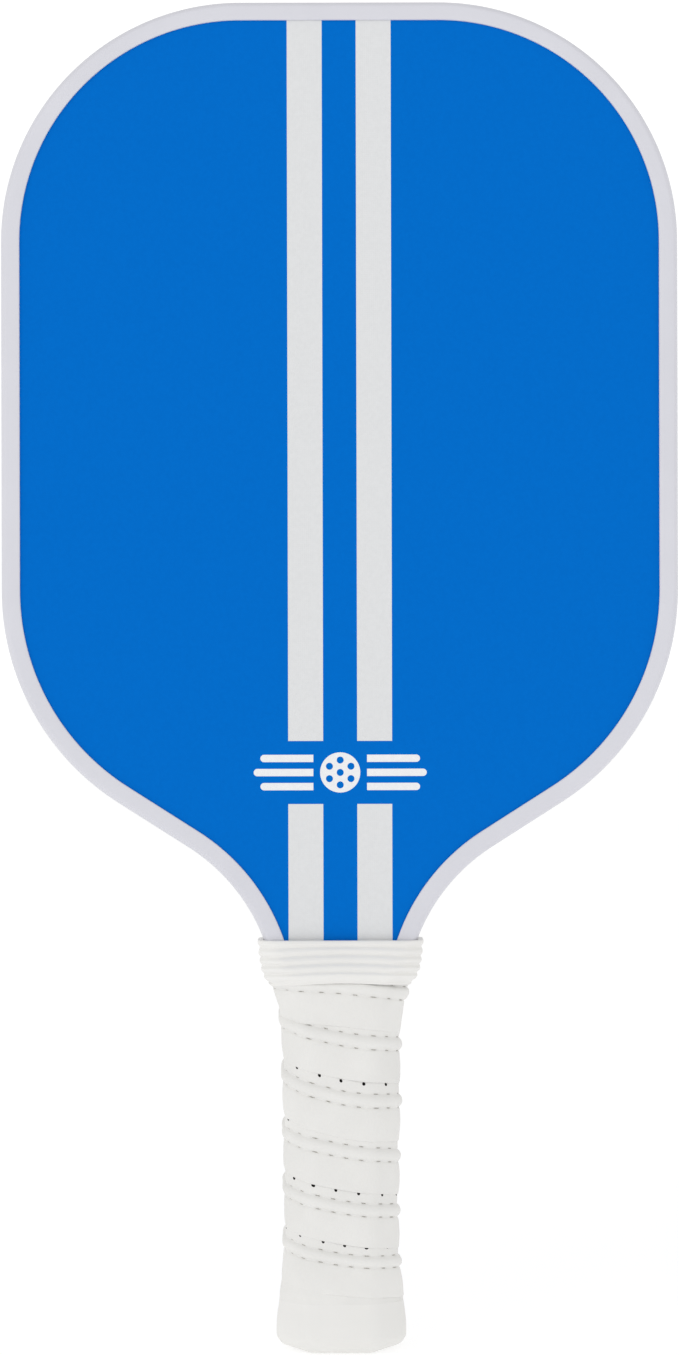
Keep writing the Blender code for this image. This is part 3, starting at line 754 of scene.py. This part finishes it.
def emblem_outlines():
    """A ball with holes between plain bars."""
    middle = sum(EMBLEM_GAP) / 2
    outlines = [circle(0, middle, BALL_RADIUS, BALL_POINTS)]
    outlines.append(circle(0, middle, BALL_HOLE_RADIUS, BALL_HOLE_POINTS))
    for i in range(BALL_HOLES):
        angle = 2 * math.pi * (i + 0.5) / BALL_HOLES
        x, z = BALL_HOLE_CIRCLE * math.cos(angle), middle + BALL_HOLE_CIRCLE * math.sin(angle)
        outlines.append(circle(x, z, BALL_HOLE_RADIUS, BALL_HOLE_POINTS))
    for way in (-1, 1):
        for row, reach in zip((-1, 0, 1), BAR_REACH):
            outlines.append(bar(way * BAR_START, way * reach, middle + row * BAR_PITCH))
    return outlines


def make_emblem(name, side, materials):
    """Ink a little proud of the print, as one flat curve filled round its holes."""
    curve = bpy.data.curves.new(name, "CURVE")
    curve.dimensions = "2D"
    curve.fill_mode = "BOTH"
    curve.extrude = INK_HEIGHT
    for outline in emblem_outlines():
        spline = curve.splines.new("POLY")
        spline.points.add(len(outline) - 1)
        for point, (x, z) in zip(spline.points, outline):
            point.co = (x, z, 0, 1)
        spline.use_cyclic_u = True
    drawing = bpy.data.objects.new(name, curve)
    graph = bpy.context.evaluated_depsgraph_get()
    mesh = bpy.data.meshes.new_from_object(drawing.evaluated_get(graph), depsgraph=graph)
    bpy.data.objects.remove(drawing)
    shape = bmesh.new()
    shape.from_mesh(mesh)
    bmesh.ops.remove_doubles(shape, verts=shape.verts, dist=INK_MERGE)
    for vert in shape.verts:
        vert.co = (vert.co.x, side * (PRINT_OUTSIDE + vert.co.z), vert.co.y)
    finish_shape(shape, mesh)
    mesh.name = name
    mesh.materials.clear()
    mesh.materials.append(materials["emblem"])
    add_piece(mesh, smooth=False)


def make_faces(materials):
    for name, side in (("front", -1), ("back", 1)):
        mesh = print_mesh(name + "_print", side, materials)
        add_piece(mesh, [name + "_graphic_film"], smooth=False)
        make_emblem(name + "_emblem_ink", side, materials)


# --- Handle sections ---


class Section:
    """A rounded octagon, read by share of the way round, clockwise from above from the +X side."""

    def __init__(self, half_width, half_depth, chamfer, radius, arc_points=9):
        w, d, c = half_width, half_depth, chamfer
        corners = [(w, -(d - c)), (w - c, -d), (-(w - c), -d), (-w, -(d - c))]
        corners += [(-x, -y) for x, y in corners]
        points, normals = [], []
        for index, corner in enumerate(corners):
            corner = np.array(corner)
            before = corner - corners[index - 1]
            after = np.array(corners[(index + 1) % 8]) - corner
            before, after = before / np.linalg.norm(before), after / np.linalg.norm(after)
            turn = math.acos(np.clip(before @ after, -1, 1))
            start = corner - before * radius * math.tan(turn / 2)
            out_before = np.array((-before[1], before[0]))
            centre = start - out_before * radius
            first = math.atan2(out_before[1], out_before[0])
            for angle in np.linspace(first, first - turn, arc_points):
                normal = np.array((math.cos(angle), math.sin(angle)))
                normals.append(normal)
                points.append(centre + normal * radius)
        points, normals = np.array(points), np.array(normals)
        middle = np.array(((w, 0.0),))
        self.points = np.vstack([middle, points, middle])
        side = np.array(((1.0, 0.0),))
        self.normals = np.vstack([side, normals, side])
        lengths = np.linalg.norm(np.diff(self.points, axis=0), axis=1)
        self.length = lengths.sum()
        self.shares = np.concatenate([[0], np.cumsum(lengths)]) / self.length

    def at(self, shares):
        shares = np.mod(shares, 1.0)
        point = [np.interp(shares, self.shares, self.points[:, k]) for k in (0, 1)]
        normal = [np.interp(shares, self.shares, self.normals[:, k]) for k in (0, 1)]
        return (*point, *normal)


HANDLE = Section(HANDLE_HALF_WIDTH, HANDLE_HALF_DEPTH, HANDLE_CHAMFER, HANDLE_CORNER)


def on_handle(turns, z, height):
    """Points at heights above the wound handle's surface, with its flares, as an array of x, y, z."""
    x, y, nx, ny = HANDLE.at(turns)
    flare = FLARE_PER_M * np.maximum(0, FLARE_TOP - z) ** 2
    throat = THROAT_FLARE_PER_M * np.maximum(0, z - THROAT_FLARE_Z) ** 2
    left, right = (interpolate(z / MM, SIDE_DRAW, column) * MM for column in (1, 2))
    draw = np.where(nx < 0, left, right) * nx**2
    out = np.maximum(height - draw, np.minimum(height, LEAST_COVER)) + flare
    wide = x * (1 + throat / HANDLE_HALF_WIDTH)
    return ring(wide + nx * out, y + ny * out, z)


# --- Butt cap ---


def cap_girth(z):
    """Height of the cap's side: level at its widest, and at the ledge in line with the wrap above it."""
    ledge = FLARE_PER_M * (FLARE_TOP - CAP_LEDGE) ** 2 + LEAD_IN_HEIGHT
    rise = CAP_LEDGE - CAP_GIRTH_Z
    t = max(0.0, (z - CAP_GIRTH_Z) / rise)
    blend = t * t * (3 - 2 * t)
    return CAP_GIRTH + (ledge - CAP_GIRTH) * blend + CAP_LEDGE_SLOPE * rise * t * t * (t - 1)


def cap_rows():
    """(z, height out from the plain handle section) from the underside's edge up to the cap's top."""
    rows = []
    girth = cap_girth(CAP_GIRTH_Z)
    for angle in map(math.radians, range(0, 91, CAP_EDGE_STEP)):
        inward = CAP_EDGE_RADIUS * (1 - math.sin(angle))
        rows.append((CAP_EDGE_RADIUS * (1 - math.cos(angle)), girth - inward))
    rows += [(z, cap_girth(z)) for z in np.linspace(CAP_SIDE_FROM, CAP_LEDGE, CAP_SIDE_RINGS)]
    rows += [(z, FLARE_PER_M * (FLARE_TOP - z) ** 2) for z in (CAP_LEDGE, SPIGOT_MIDDLE, CAP_TOP)]
    return rows


def parting_line(z):
    """Depth of the fine groove where the mould's halves met."""
    return PARTING_DEPTH * np.exp(-(((z - PARTING_Z) / PARTING_HALF_WIDTH) ** 2))


def cap_outside(shares):
    """The cap's rings from its underside's edge to the top of its spigot."""
    rings = []
    for z, out in cap_rows():
        corner = np.interp(z, (CAP_EDGE_RADIUS, CAP_LEDGE), (CAP_CORNER, HANDLE_CORNER))
        section = Section(HANDLE_HALF_WIDTH, HANDLE_HALF_DEPTH, HANDLE_CHAMFER, corner)
        x, y, nx, ny = section.at(shares)
        x = x + nx * (out - parting_line(z))
        y = y + ny * (out - parting_line(z))
        lift = RIM_LIFT * fade(np.abs(x), *RIM_LIFT_FROM) * max(0.0, 1 - z / CAP_EDGE_RADIUS)
        rings.append(ring(x, y, z + lift))
    return rings


def cap_room(shares, angles):
    """The rings of the room inside the cap, closed by a small ring on its floor."""
    x, y, _, _ = Section(*SPIGOT_ROOM, SPIGOT_ROOM_CORNER).at(shares)
    walls = [ring(x, y, z) for z in (CAP_TOP, CAP_FLOOR)]
    return walls + [round_ring(radius, CAP_FLOOR, angles) for radius in (FLOOR_RING, CLOSING_RING)]


def cap_recess(angles):
    """The rings of the badge's recess, from its middle out to the underside."""
    places = (
        (CLOSING_RING, RECESS_TOP),
        (RECESS_RADIUS, RECESS_TOP),
        (RECESS_RADIUS, RECESS_EDGE),
        (RECESS_RADIUS + RECESS_EDGE, 0.0),
    )
    return [round_ring(radius, z, angles) for radius, z in places]


def make_cap(materials):
    shares = np.arange(CAP_AROUND) / CAP_AROUND
    angles = -2 * math.pi * shares
    rings = cap_recess(angles) + cap_outside(shares) + cap_room(shares, angles)
    faces = capped_grid(len(rings), CAP_AROUND)
    mesh = mesh_of("cap_moulding", np.concatenate(rings), faces, [materials["cap"]])
    add_piece(mesh, ["butt_cap"])


def make_badge(materials):
    """A blank domed disc, slightly raised in the middle of its underside."""
    angles = 2 * math.pi * np.arange(BADGE_AROUND) / BADGE_AROUND
    profile = [(share, BADGE_BOTTOM + height * MM) for share, height in BADGE_DOME]
    profile += [(1.0, BADGE_TOP), (BADGE_DOME[0][0], BADGE_TOP)]
    rings = [round_ring(share * BADGE_RADIUS, z, angles) for share, z in profile]
    faces = capped_grid(len(rings), BADGE_AROUND)
    mesh = mesh_of("domed_badge", np.concatenate(rings), faces, [materials["badge"]])
    add_piece(mesh, ["butt_cap_badge"])


# --- Grip strip ---


def winding(turns, column):
    """One column of WINDING at these turns, in metres where it is a height."""
    return smooth_curve(turns, WINDING, column) * (MM if column < 3 else 1.0)


def strip_turns():
    """Turns wound at each station, evenly spaced along the strip."""
    step = STATION_STEP / (HANDLE.length + 2 * math.pi * STRIP_STANDOFF)
    turns = np.arange(STRIP_START, WINDING[-1][0], step)
    return turns[winding(turns, 2) < STRIP_END_EDGE]


def across(turns, s):
    """z on the strip at a distance s across it, from where its edge and its rib lie."""
    rib, edge, stretch = (winding(turns, column) for column in (1, 2, 3))
    below = rib - (RIB_MIDDLE - s) * (rib - edge) / RIB_MIDDLE
    return np.where(s < RIB_MIDDLE, below, rib + (s - RIB_MIDDLE) * stretch)


def hand_wave(turns, s):
    """Small uneven swells that winding by hand leaves."""
    swells = 0.0
    for height, per_turn, per_m, phase in HAND_WAVES:
        swells = swells + height * MM * np.sin(2 * math.pi * (turns * per_turn + s * per_m) + phase)
    return swells * fade(s, *HAND_WAVES_FROM)


def between_turns(turns, limits):
    """1 between the middle two of four limits, fading to 0 at the outer two."""
    first, full, last, gone = limits
    return fade(turns, first, full) * (1 - fade(turns, last, gone))


def strip_height(turns, s, z):
    """Height of the strip's outside above the handle."""
    height = interpolate(s / MM, STRIP_PROFILE, 1) * MM
    lead_in = interpolate(s / MM, LEAD_IN_PROFILE, 1) * MM
    height = height + (lead_in - height) * (1 - fade(turns, *LEAD_IN_RIB))
    flat_edge = between_turns(np.mod(turns, 1.0), FLAT_EDGE_TURNS) * np.exp(-s / FLAT_EDGE_REACH)
    height = height + hand_wave(turns, s) - FLAT_EDGE_DEPTH * flat_edge * fade(turns, *LEAD_IN_END)
    rise = LEAD_IN_RISE * between_turns(turns, LEAD_IN_RISE_TURNS) * fade(z, *LEAD_IN_RISE_Z)
    over_cap = LEAD_IN_HEIGHT + LEAD_IN_SLOPE * np.maximum(0, z - GRIP_BOTTOM) + rise
    height = np.where(turns < 1, np.minimum(height + rise, over_cap), height)
    pressed = PRESSED_HEIGHT + PRESSED_SLOPE * np.maximum(0, GRIP_TOP - z)
    return np.minimum(height, pressed)


def stitch_depth(turns):
    """Share of the full depth that a stitch sinks to, less where the leather is taut."""
    return 1 - (1 - TAUT_DEPTH) * between_turns(np.mod(turns, 1.0), TAUT_TURNS)


def pull_stitches(heights, turns, s):
    """Sinks a short slot beside the rib at each stitch, and puckers the leather a little round it."""
    index = np.arange(len(heights))
    phase = ((index + STITCH_STATIONS // 2) % STITCH_STATIONS) - STITCH_STATIONS // 2
    along = phase[:, None] * STATION_STEP
    exposed = fade(turns, *LEAD_IN_RIB)
    for way in (-1, 1):
        distance = s - (RIB_MIDDLE + way * GROOVE_FROM_RIB)
        slot = np.exp(-((along / STITCH_HALF) ** 4)) * np.exp(-((distance / STITCH_HALF_WIDTH) ** 4))
        pucker = np.cos(2 * math.pi * along / (STITCH_STATIONS * STATION_STEP))
        pucker = pucker * np.exp(-((distance / PUCKER_REACH) ** 2))
        heights = heights - (STITCH_PIT * slot + PUCKER_DEPTH * pucker) * exposed * stitch_depth(turns)
    return heights


def solve_across(turns, z):
    """The distance across the strip that lies at this height."""
    rib, edge, stretch = (winding(turns, column) for column in (1, 2, 3))
    below = RIB_MIDDLE * (z - edge) / (rib - edge)
    return np.where(z < rib, below, RIB_MIDDLE + (z - rib) / stretch)


def strip_grid(turns, over, under):
    """Distances across the strip, over it and back under it, kept between the cap and the collar."""
    low = np.maximum(0.0, solve_across(turns, GRIP_BOTTOM))[:, None]
    high = np.minimum(STRIP_WIDTH, solve_across(turns, GRIP_TOP))[:, None]
    order = np.concatenate([np.arange(len(over)), np.arange(len(under))[::-1]])
    last = np.repeat([len(over) - 1, len(under) - 1], [len(over), len(under)])
    wanted = np.repeat(np.concatenate([over, under])[None, :], len(turns), axis=0)
    return np.clip(wanted, low + order * LEAST_STEP, high - (last - order) * LEAST_STEP)


def underside_heights(turns, s, heights):
    """Heights of the strip's underside, kept below the outside's heights at both edges."""
    under = interpolate(s / MM, STRIP_UNDERSIDE, 1) * MM
    under = np.where(turns < 1, LEAD_IN_UNDERSIDE, under)
    under[:, 0] = np.minimum(under[:, 0], heights[:, -1] - STRIP_THINNEST)
    under[:, -1] = np.minimum(under[:, -1], heights[:, 0] - STRIP_THINNEST)
    return under


def make_grip(materials):
    """The whole strip as one closed band wound up the handle, and then its stitches."""
    turns = strip_turns()
    over = np.array([s for s, _ in STRIP_PROFILE]) * MM
    under = np.array([s for s, _ in STRIP_UNDERSIDE])[::-1] * MM
    stations, columns, outside = len(turns), len(over) + len(under), len(over)
    s_grid = strip_grid(turns, over, under)
    t_grid = np.repeat(turns[:, None], columns, axis=1)
    z_grid = across(t_grid, s_grid)
    t_over, s_over, z_over = (grid[:, :outside] for grid in (t_grid, s_grid, z_grid))
    heights = pull_stitches(strip_height(t_over, s_over, z_over), t_over, s_over)
    t_under = t_grid[:, outside:].copy()
    in_hole = punch_holes(t_grid, z_grid, heights, over)
    below = underside_heights(t_under, s_grid[:, outside:], heights)
    points = on_handle(t_grid, z_grid, np.concatenate([heights, below], axis=1)).reshape(-1, 3)
    # The second material paints the perforations' insides near-black as their shade.
    skins = [materials["leather"], materials["painted_hole_shade"]]
    end_faces = [0, 0]
    indices = np.concatenate([in_hole[: stations - 1].reshape(-1).astype(np.int32), end_faces])
    mesh = mesh_of("wound_grip", points, capped_grid(stations, columns), skins, indices)
    grip = add_piece(mesh, ["grip_strip"])
    make_stitching(turns, heights, over, z_grid, materials)


def sink_hole(middle, row, grids, turn_per_m):
    """Draws the grid's points in round one perforation and sinks the ones inside it."""
    turns, z_grid, heights = grids
    centre_turn, centre_z = turns[middle, row], z_grid[middle, row]
    slope = (z_grid[middle + 1, row] - z_grid[middle - 1, row]) / (2 * STATION_STEP)
    reach = len(HOLE_RING_SHARES) - 1
    for di in range(-reach, reach + 1):
        for dj in range(-reach, reach + 1):
            circuit = max(abs(di), abs(dj))
            i, j = middle + di, row + dj
            heights[i, j] -= HOLE_DEPTH if circuit < reach else HOLE_DIMPLE
            if circuit == 0:
                continue
            angle = math.atan2(dj, di)
            radius = HOLE_RADIUS * HOLE_RING_SHARES[circuit]
            along = radius * math.cos(angle)
            turns[i, j] = centre_turn + along * turn_per_m
            z_grid[i, j] = centre_z + radius * math.sin(angle) + slope * along


def punch_holes(turns, z_grid, heights, s_values):
    """Makes the strip's row of perforations. Returns which faces are inside one, which are painted near-black
    as the holes' shade.
    """
    stations = len(turns)
    inside = np.zeros(turns.shape, dtype=bool)
    row = int(np.argmin(np.abs(s_values - (RIB_MIDDLE + HOLE_FROM_RIB))))
    turn_per_m = (turns[1, 0] - turns[0, 0]) / STATION_STEP
    reach = len(HOLE_RING_SHARES) - 1
    high = np.minimum(STRIP_WIDTH, solve_across(turns[:, 0], GRIP_TOP))
    for number in range(int((stations * STATION_STEP - HOLE_PHASE) / HOLE_PITCH)):
        middle = round((HOLE_PHASE + HOLE_PITCH * number) / STATION_STEP)
        if turns[middle, 0] < LEAD_IN_RIB[1] or high[middle] < s_values[row + reach + 1]:
            continue
        sink_hole(middle, row, (turns, z_grid, heights), turn_per_m)
        inside[middle - reach : middle + reach, row - reach : row + reach] = True
    return inside


def thread_bight(station, turns, z_line, slot_floor):
    """Centre line of the short thread that shows in one slot, with its ends sunk in the leather."""
    share = np.linspace(-1, 1, THREAD_RINGS)
    index = station + share * STITCH_HALF * THREAD_REACH / STATION_STEP
    t = np.interp(index, np.arange(len(turns)), turns)
    z = np.interp(t, turns, z_line)
    return t, z, slot_floor + THREAD_RADIUS * (THREAD_LIFT - THREAD_SINK * share**4)


def thread_rings(centre, outward):
    """Rings of points round a thread's centre line."""
    around = 2 * math.pi * np.arange(THREAD_SIDES) / THREAD_SIDES
    forward = np.gradient(centre, axis=0)
    forward /= np.linalg.norm(forward, axis=1)[:, None]
    side = np.cross(forward, outward)
    up_part = np.cos(around)[None, :, None] * outward[:, None, :]
    side_part = np.sin(around)[None, :, None] * side[:, None, :]
    return (centre[:, None, :] + up_part + side_part).reshape(-1, 3)


def make_stitching(turns, heights, s_values, z_grid, materials):
    """A short bight of thread in every slot on each side of the rib."""
    all_points, all_faces = [], []
    bight_faces = capped_grid(THREAD_RINGS, THREAD_SIDES)
    for way in (-1, 1):
        column = int(np.argmin(np.abs(s_values - (RIB_MIDDLE + way * GROOVE_FROM_RIB))))
        for station in range(0, len(turns) - STITCH_STATIONS, STITCH_STATIONS):
            hidden = z_grid[station, column] > GRIP_TOP - THREAD_BELOW_TOP
            if turns[station] < LEAD_IN_RIB[1] or hidden:
                continue
            depth_lost = STITCH_PIT * (1 - stitch_depth(turns[station]))
            slot_floor = heights[station, column] - depth_lost
            t, z, lift = thread_bight(station, turns, z_grid[:, column], slot_floor)
            centre = on_handle(t, z, lift)
            outward = on_handle(t, z, lift + THREAD_RADIUS) - centre
            base = len(all_points) * THREAD_RINGS * THREAD_SIDES
            all_points.append(thread_rings(centre, outward))
            all_faces += [[base + corner for corner in face] for face in bight_faces]
    mesh = mesh_of("grip_stitching", np.concatenate(all_points), all_faces, [materials["thread"]])
    add_piece(mesh)


# --- Collar ---


def collar_groove(below_top):
    """How far the moulded ribs' waves cut in at this distance below the collar's top."""
    from_first = below_top - FIRST_GROOVE_BELOW_TOP
    if not -GROOVE_PITCH / 2 < from_first < GROOVE_PITCH * (COLLAR_GROOVES - 0.5):
        return 0.0
    wave = 0.5 + 0.5 * math.cos(2 * math.pi * from_first / GROOVE_PITCH)
    return GROOVE_DEPTH * wave**GROOVE_SHARPNESS


def collar_ring(z, table, inward, shift):
    """One ring of the collar. The whole ring is moved up or down by shift, more at the sides."""
    width, depth, chamfer = (interpolate(z / MM, table, column) * MM for column in (1, 2, 3))
    radius = min(COLLAR_CORNER, CORNER_PER_CHAMFER * chamfer)
    section = Section(width - inward, depth - inward, chamfer, radius)
    shares = np.arange(COLLAR_AROUND) / COLLAR_AROUND
    x, y, _, _ = section.at(shares)
    arch = COLLAR_ARCH * (1 - 2 * (x / width) ** 2) * shift
    left = COLLAR_LEFT_DROP * np.clip(-x / width, 0, 1) * shift
    return ring(x, y, z + arch - left)


def collar_shift(z):
    """1 over most of the collar, and 0 at its top, which is level."""
    return float(1 - fade(z, COLLAR_TOP - COLLAR_LEVEL_TOP, COLLAR_TOP))


def lip_roll(z):
    """How far the rolled lip at either end of the collar curves in."""
    from_end = min(z - COLLAR_BOTTOM, COLLAR_TOP - z)
    share = 1 - min(1.0, from_end / LIP_ROLL)
    return LIP_ROLL_SHARE * LIP_ROLL * (1 - math.sqrt(max(0.0, 1 - share**2)))


def make_collar(materials):
    """A closed sleeve: up its ribbed outside, then down its inside."""
    rings = []
    for i in range(COLLAR_RINGS + 1):
        z = COLLAR_BOTTOM + (COLLAR_TOP - COLLAR_BOTTOM) * i / COLLAR_RINGS
        inward = collar_groove(COLLAR_TOP - z) + lip_roll(z)
        rings.append(collar_ring(z, COLLAR_OUTSIDE, inward, collar_shift(z)))
    for row in reversed(COLLAR_INSIDE):
        z = row[0] * MM
        rings.append(collar_ring(z, COLLAR_INSIDE, 0.0, collar_shift(z)))
    faces = grid_faces(len(rings), COLLAR_AROUND, rows_meet=True, columns_meet=True).tolist()
    mesh = mesh_of("ribbed_collar", np.concatenate(rings), faces, [materials["collar"]])
    add_piece(mesh, ["rubber_collar"])


# --- Scene ---


def paint_frame(materials):
    """Materials for the frame's own nodes that stay."""
    looks = {
        "core": ["honeycomb_core"],
        "bond": ["front_bond_film", "back_bond_film"],
        "sheet": ["front_face_sheet", "back_face_sheet"],
        "foam_tape": ["edge_guard_tape"],
        "former": ["handle_front_half", "handle_back_half"],
        "steel": ["butt_cap_staple_front", "butt_cap_staple_back"],
        "adhesive": ["grip_adhesive_tape"],
        "tape": ["grip_finishing_tape"],
    }
    for look, names in looks.items():
        for slot in [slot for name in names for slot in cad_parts[name].material_slots]:
            slot.material = materials[look]


def make_floor():
    mesh = bpy.data.meshes.new("studio_floor")
    shape = bmesh.new()
    bmesh.ops.create_grid(shape, x_segments=2, y_segments=2, size=FLOOR_HALF)
    shape.to_mesh(mesh)
    shape.free()
    floor = bpy.data.objects.new("studio_floor", mesh)
    bpy.context.scene.collection.objects.link(floor)
    floor.location.z = -FLOOR_DROP
    material = new_material("studio_floor", FLOOR_PALE, FLOOR_ROUGHNESS, 0.0)
    mottle(material, noise(material, 3), FLOOR_DARK, 0.4, 0.7)
    shader = material.node_tree.nodes["Principled BSDF"]
    shader.inputs["Emission Color"].default_value = (1, 1, 1, 1)
    shader.inputs["Emission Strength"].default_value = FLOOR_GLOW
    mesh.materials.append(material)


def arithmetic(owner, operation, first, second):
    made = node(owner, "ShaderNodeMath", operation=operation)
    for socket, value in zip(made.inputs, (first, second)):
        if isinstance(value, float):
            socket.default_value = value
        else:
            link(owner, value, socket)
    return made.outputs["Value"]


def make_world():
    """A white tent: plain white to the camera, and a little uneven in the light that it gives."""
    world = bpy.data.worlds.new("studio")
    bpy.context.scene.world = world
    world.use_nodes = True
    world.node_tree.nodes.clear()
    direction = node(world, "ShaderNodeSeparateXYZ")
    link(world, node(world, "ShaderNodeTexCoord").outputs["Generated"], direction.inputs[0])
    share = 1.0
    for axis, way, card in CARDS:
        along = arithmetic(world, "MULTIPLY", direction.outputs[axis], way)
        lost = spread(world, along, *CARD_EDGES, 0.0, card, "SMOOTHSTEP")
        share = arithmetic(world, "SUBTRACT", share, lost)
    lit, seen = (node(world, "ShaderNodeBackground", Color=(1, 1, 1, 1)) for _ in range(2))
    link(world, arithmetic(world, "MULTIPLY", share, LIT_STRENGTH), lit.inputs["Strength"])
    seen.inputs["Strength"].default_value = SEEN_STRENGTH
    mix = node(world, "ShaderNodeMixShader")
    link(world, node(world, "ShaderNodeLightPath").outputs["Is Camera Ray"], mix.inputs["Fac"])
    link(world, lit.outputs[0], mix.inputs[1])
    link(world, seen.outputs[0], mix.inputs[2])
    link(world, mix.outputs[0], node(world, "ShaderNodeOutputWorld").inputs["Surface"])


def add_light(name, location, target, size, watts):
    light = bpy.data.lights.new(name, "AREA")
    light.shape = "DISK"
    light.size = size
    light.energy = watts
    obj = bpy.data.objects.new(name, light)
    bpy.context.scene.collection.objects.link(obj)
    obj.location = location
    direction = [b - a for a, b in zip(location, target)]
    obj.rotation_mode = "QUATERNION"
    obj.rotation_quaternion = Vector(direction).to_track_quat("-Z", "Y")


def make_camera():
    data = bpy.data.cameras.new("studio_camera")
    data.sensor_width = SENSOR
    data.lens = SENSOR * CAMERA_DISTANCE / FRAME_HEIGHT
    camera = bpy.data.objects.new("studio_camera", data)
    bpy.context.scene.collection.objects.link(camera)
    camera.location = (CAMERA_X, -CAMERA_DISTANCE, CAMERA_Z)
    camera.rotation_euler = (math.radians(90), CAMERA_ROLL, 0)
    data.clip_start, data.clip_end = CAMERA_CLIP
    bpy.context.scene.camera = camera


def main():
    materials = make_materials()
    make_camera()
    paint_frame(materials)
    make_guard(materials)
    make_faces(materials)
    make_cap(materials)
    make_badge(materials)
    make_grip(materials)
    make_collar(materials)
    make_floor()
    make_world()
    for softbox in SOFTBOXES:
        add_light(*softbox)
    view = bpy.context.scene.view_settings
    view.view_transform = "Standard"
    view.look = "None"


main()
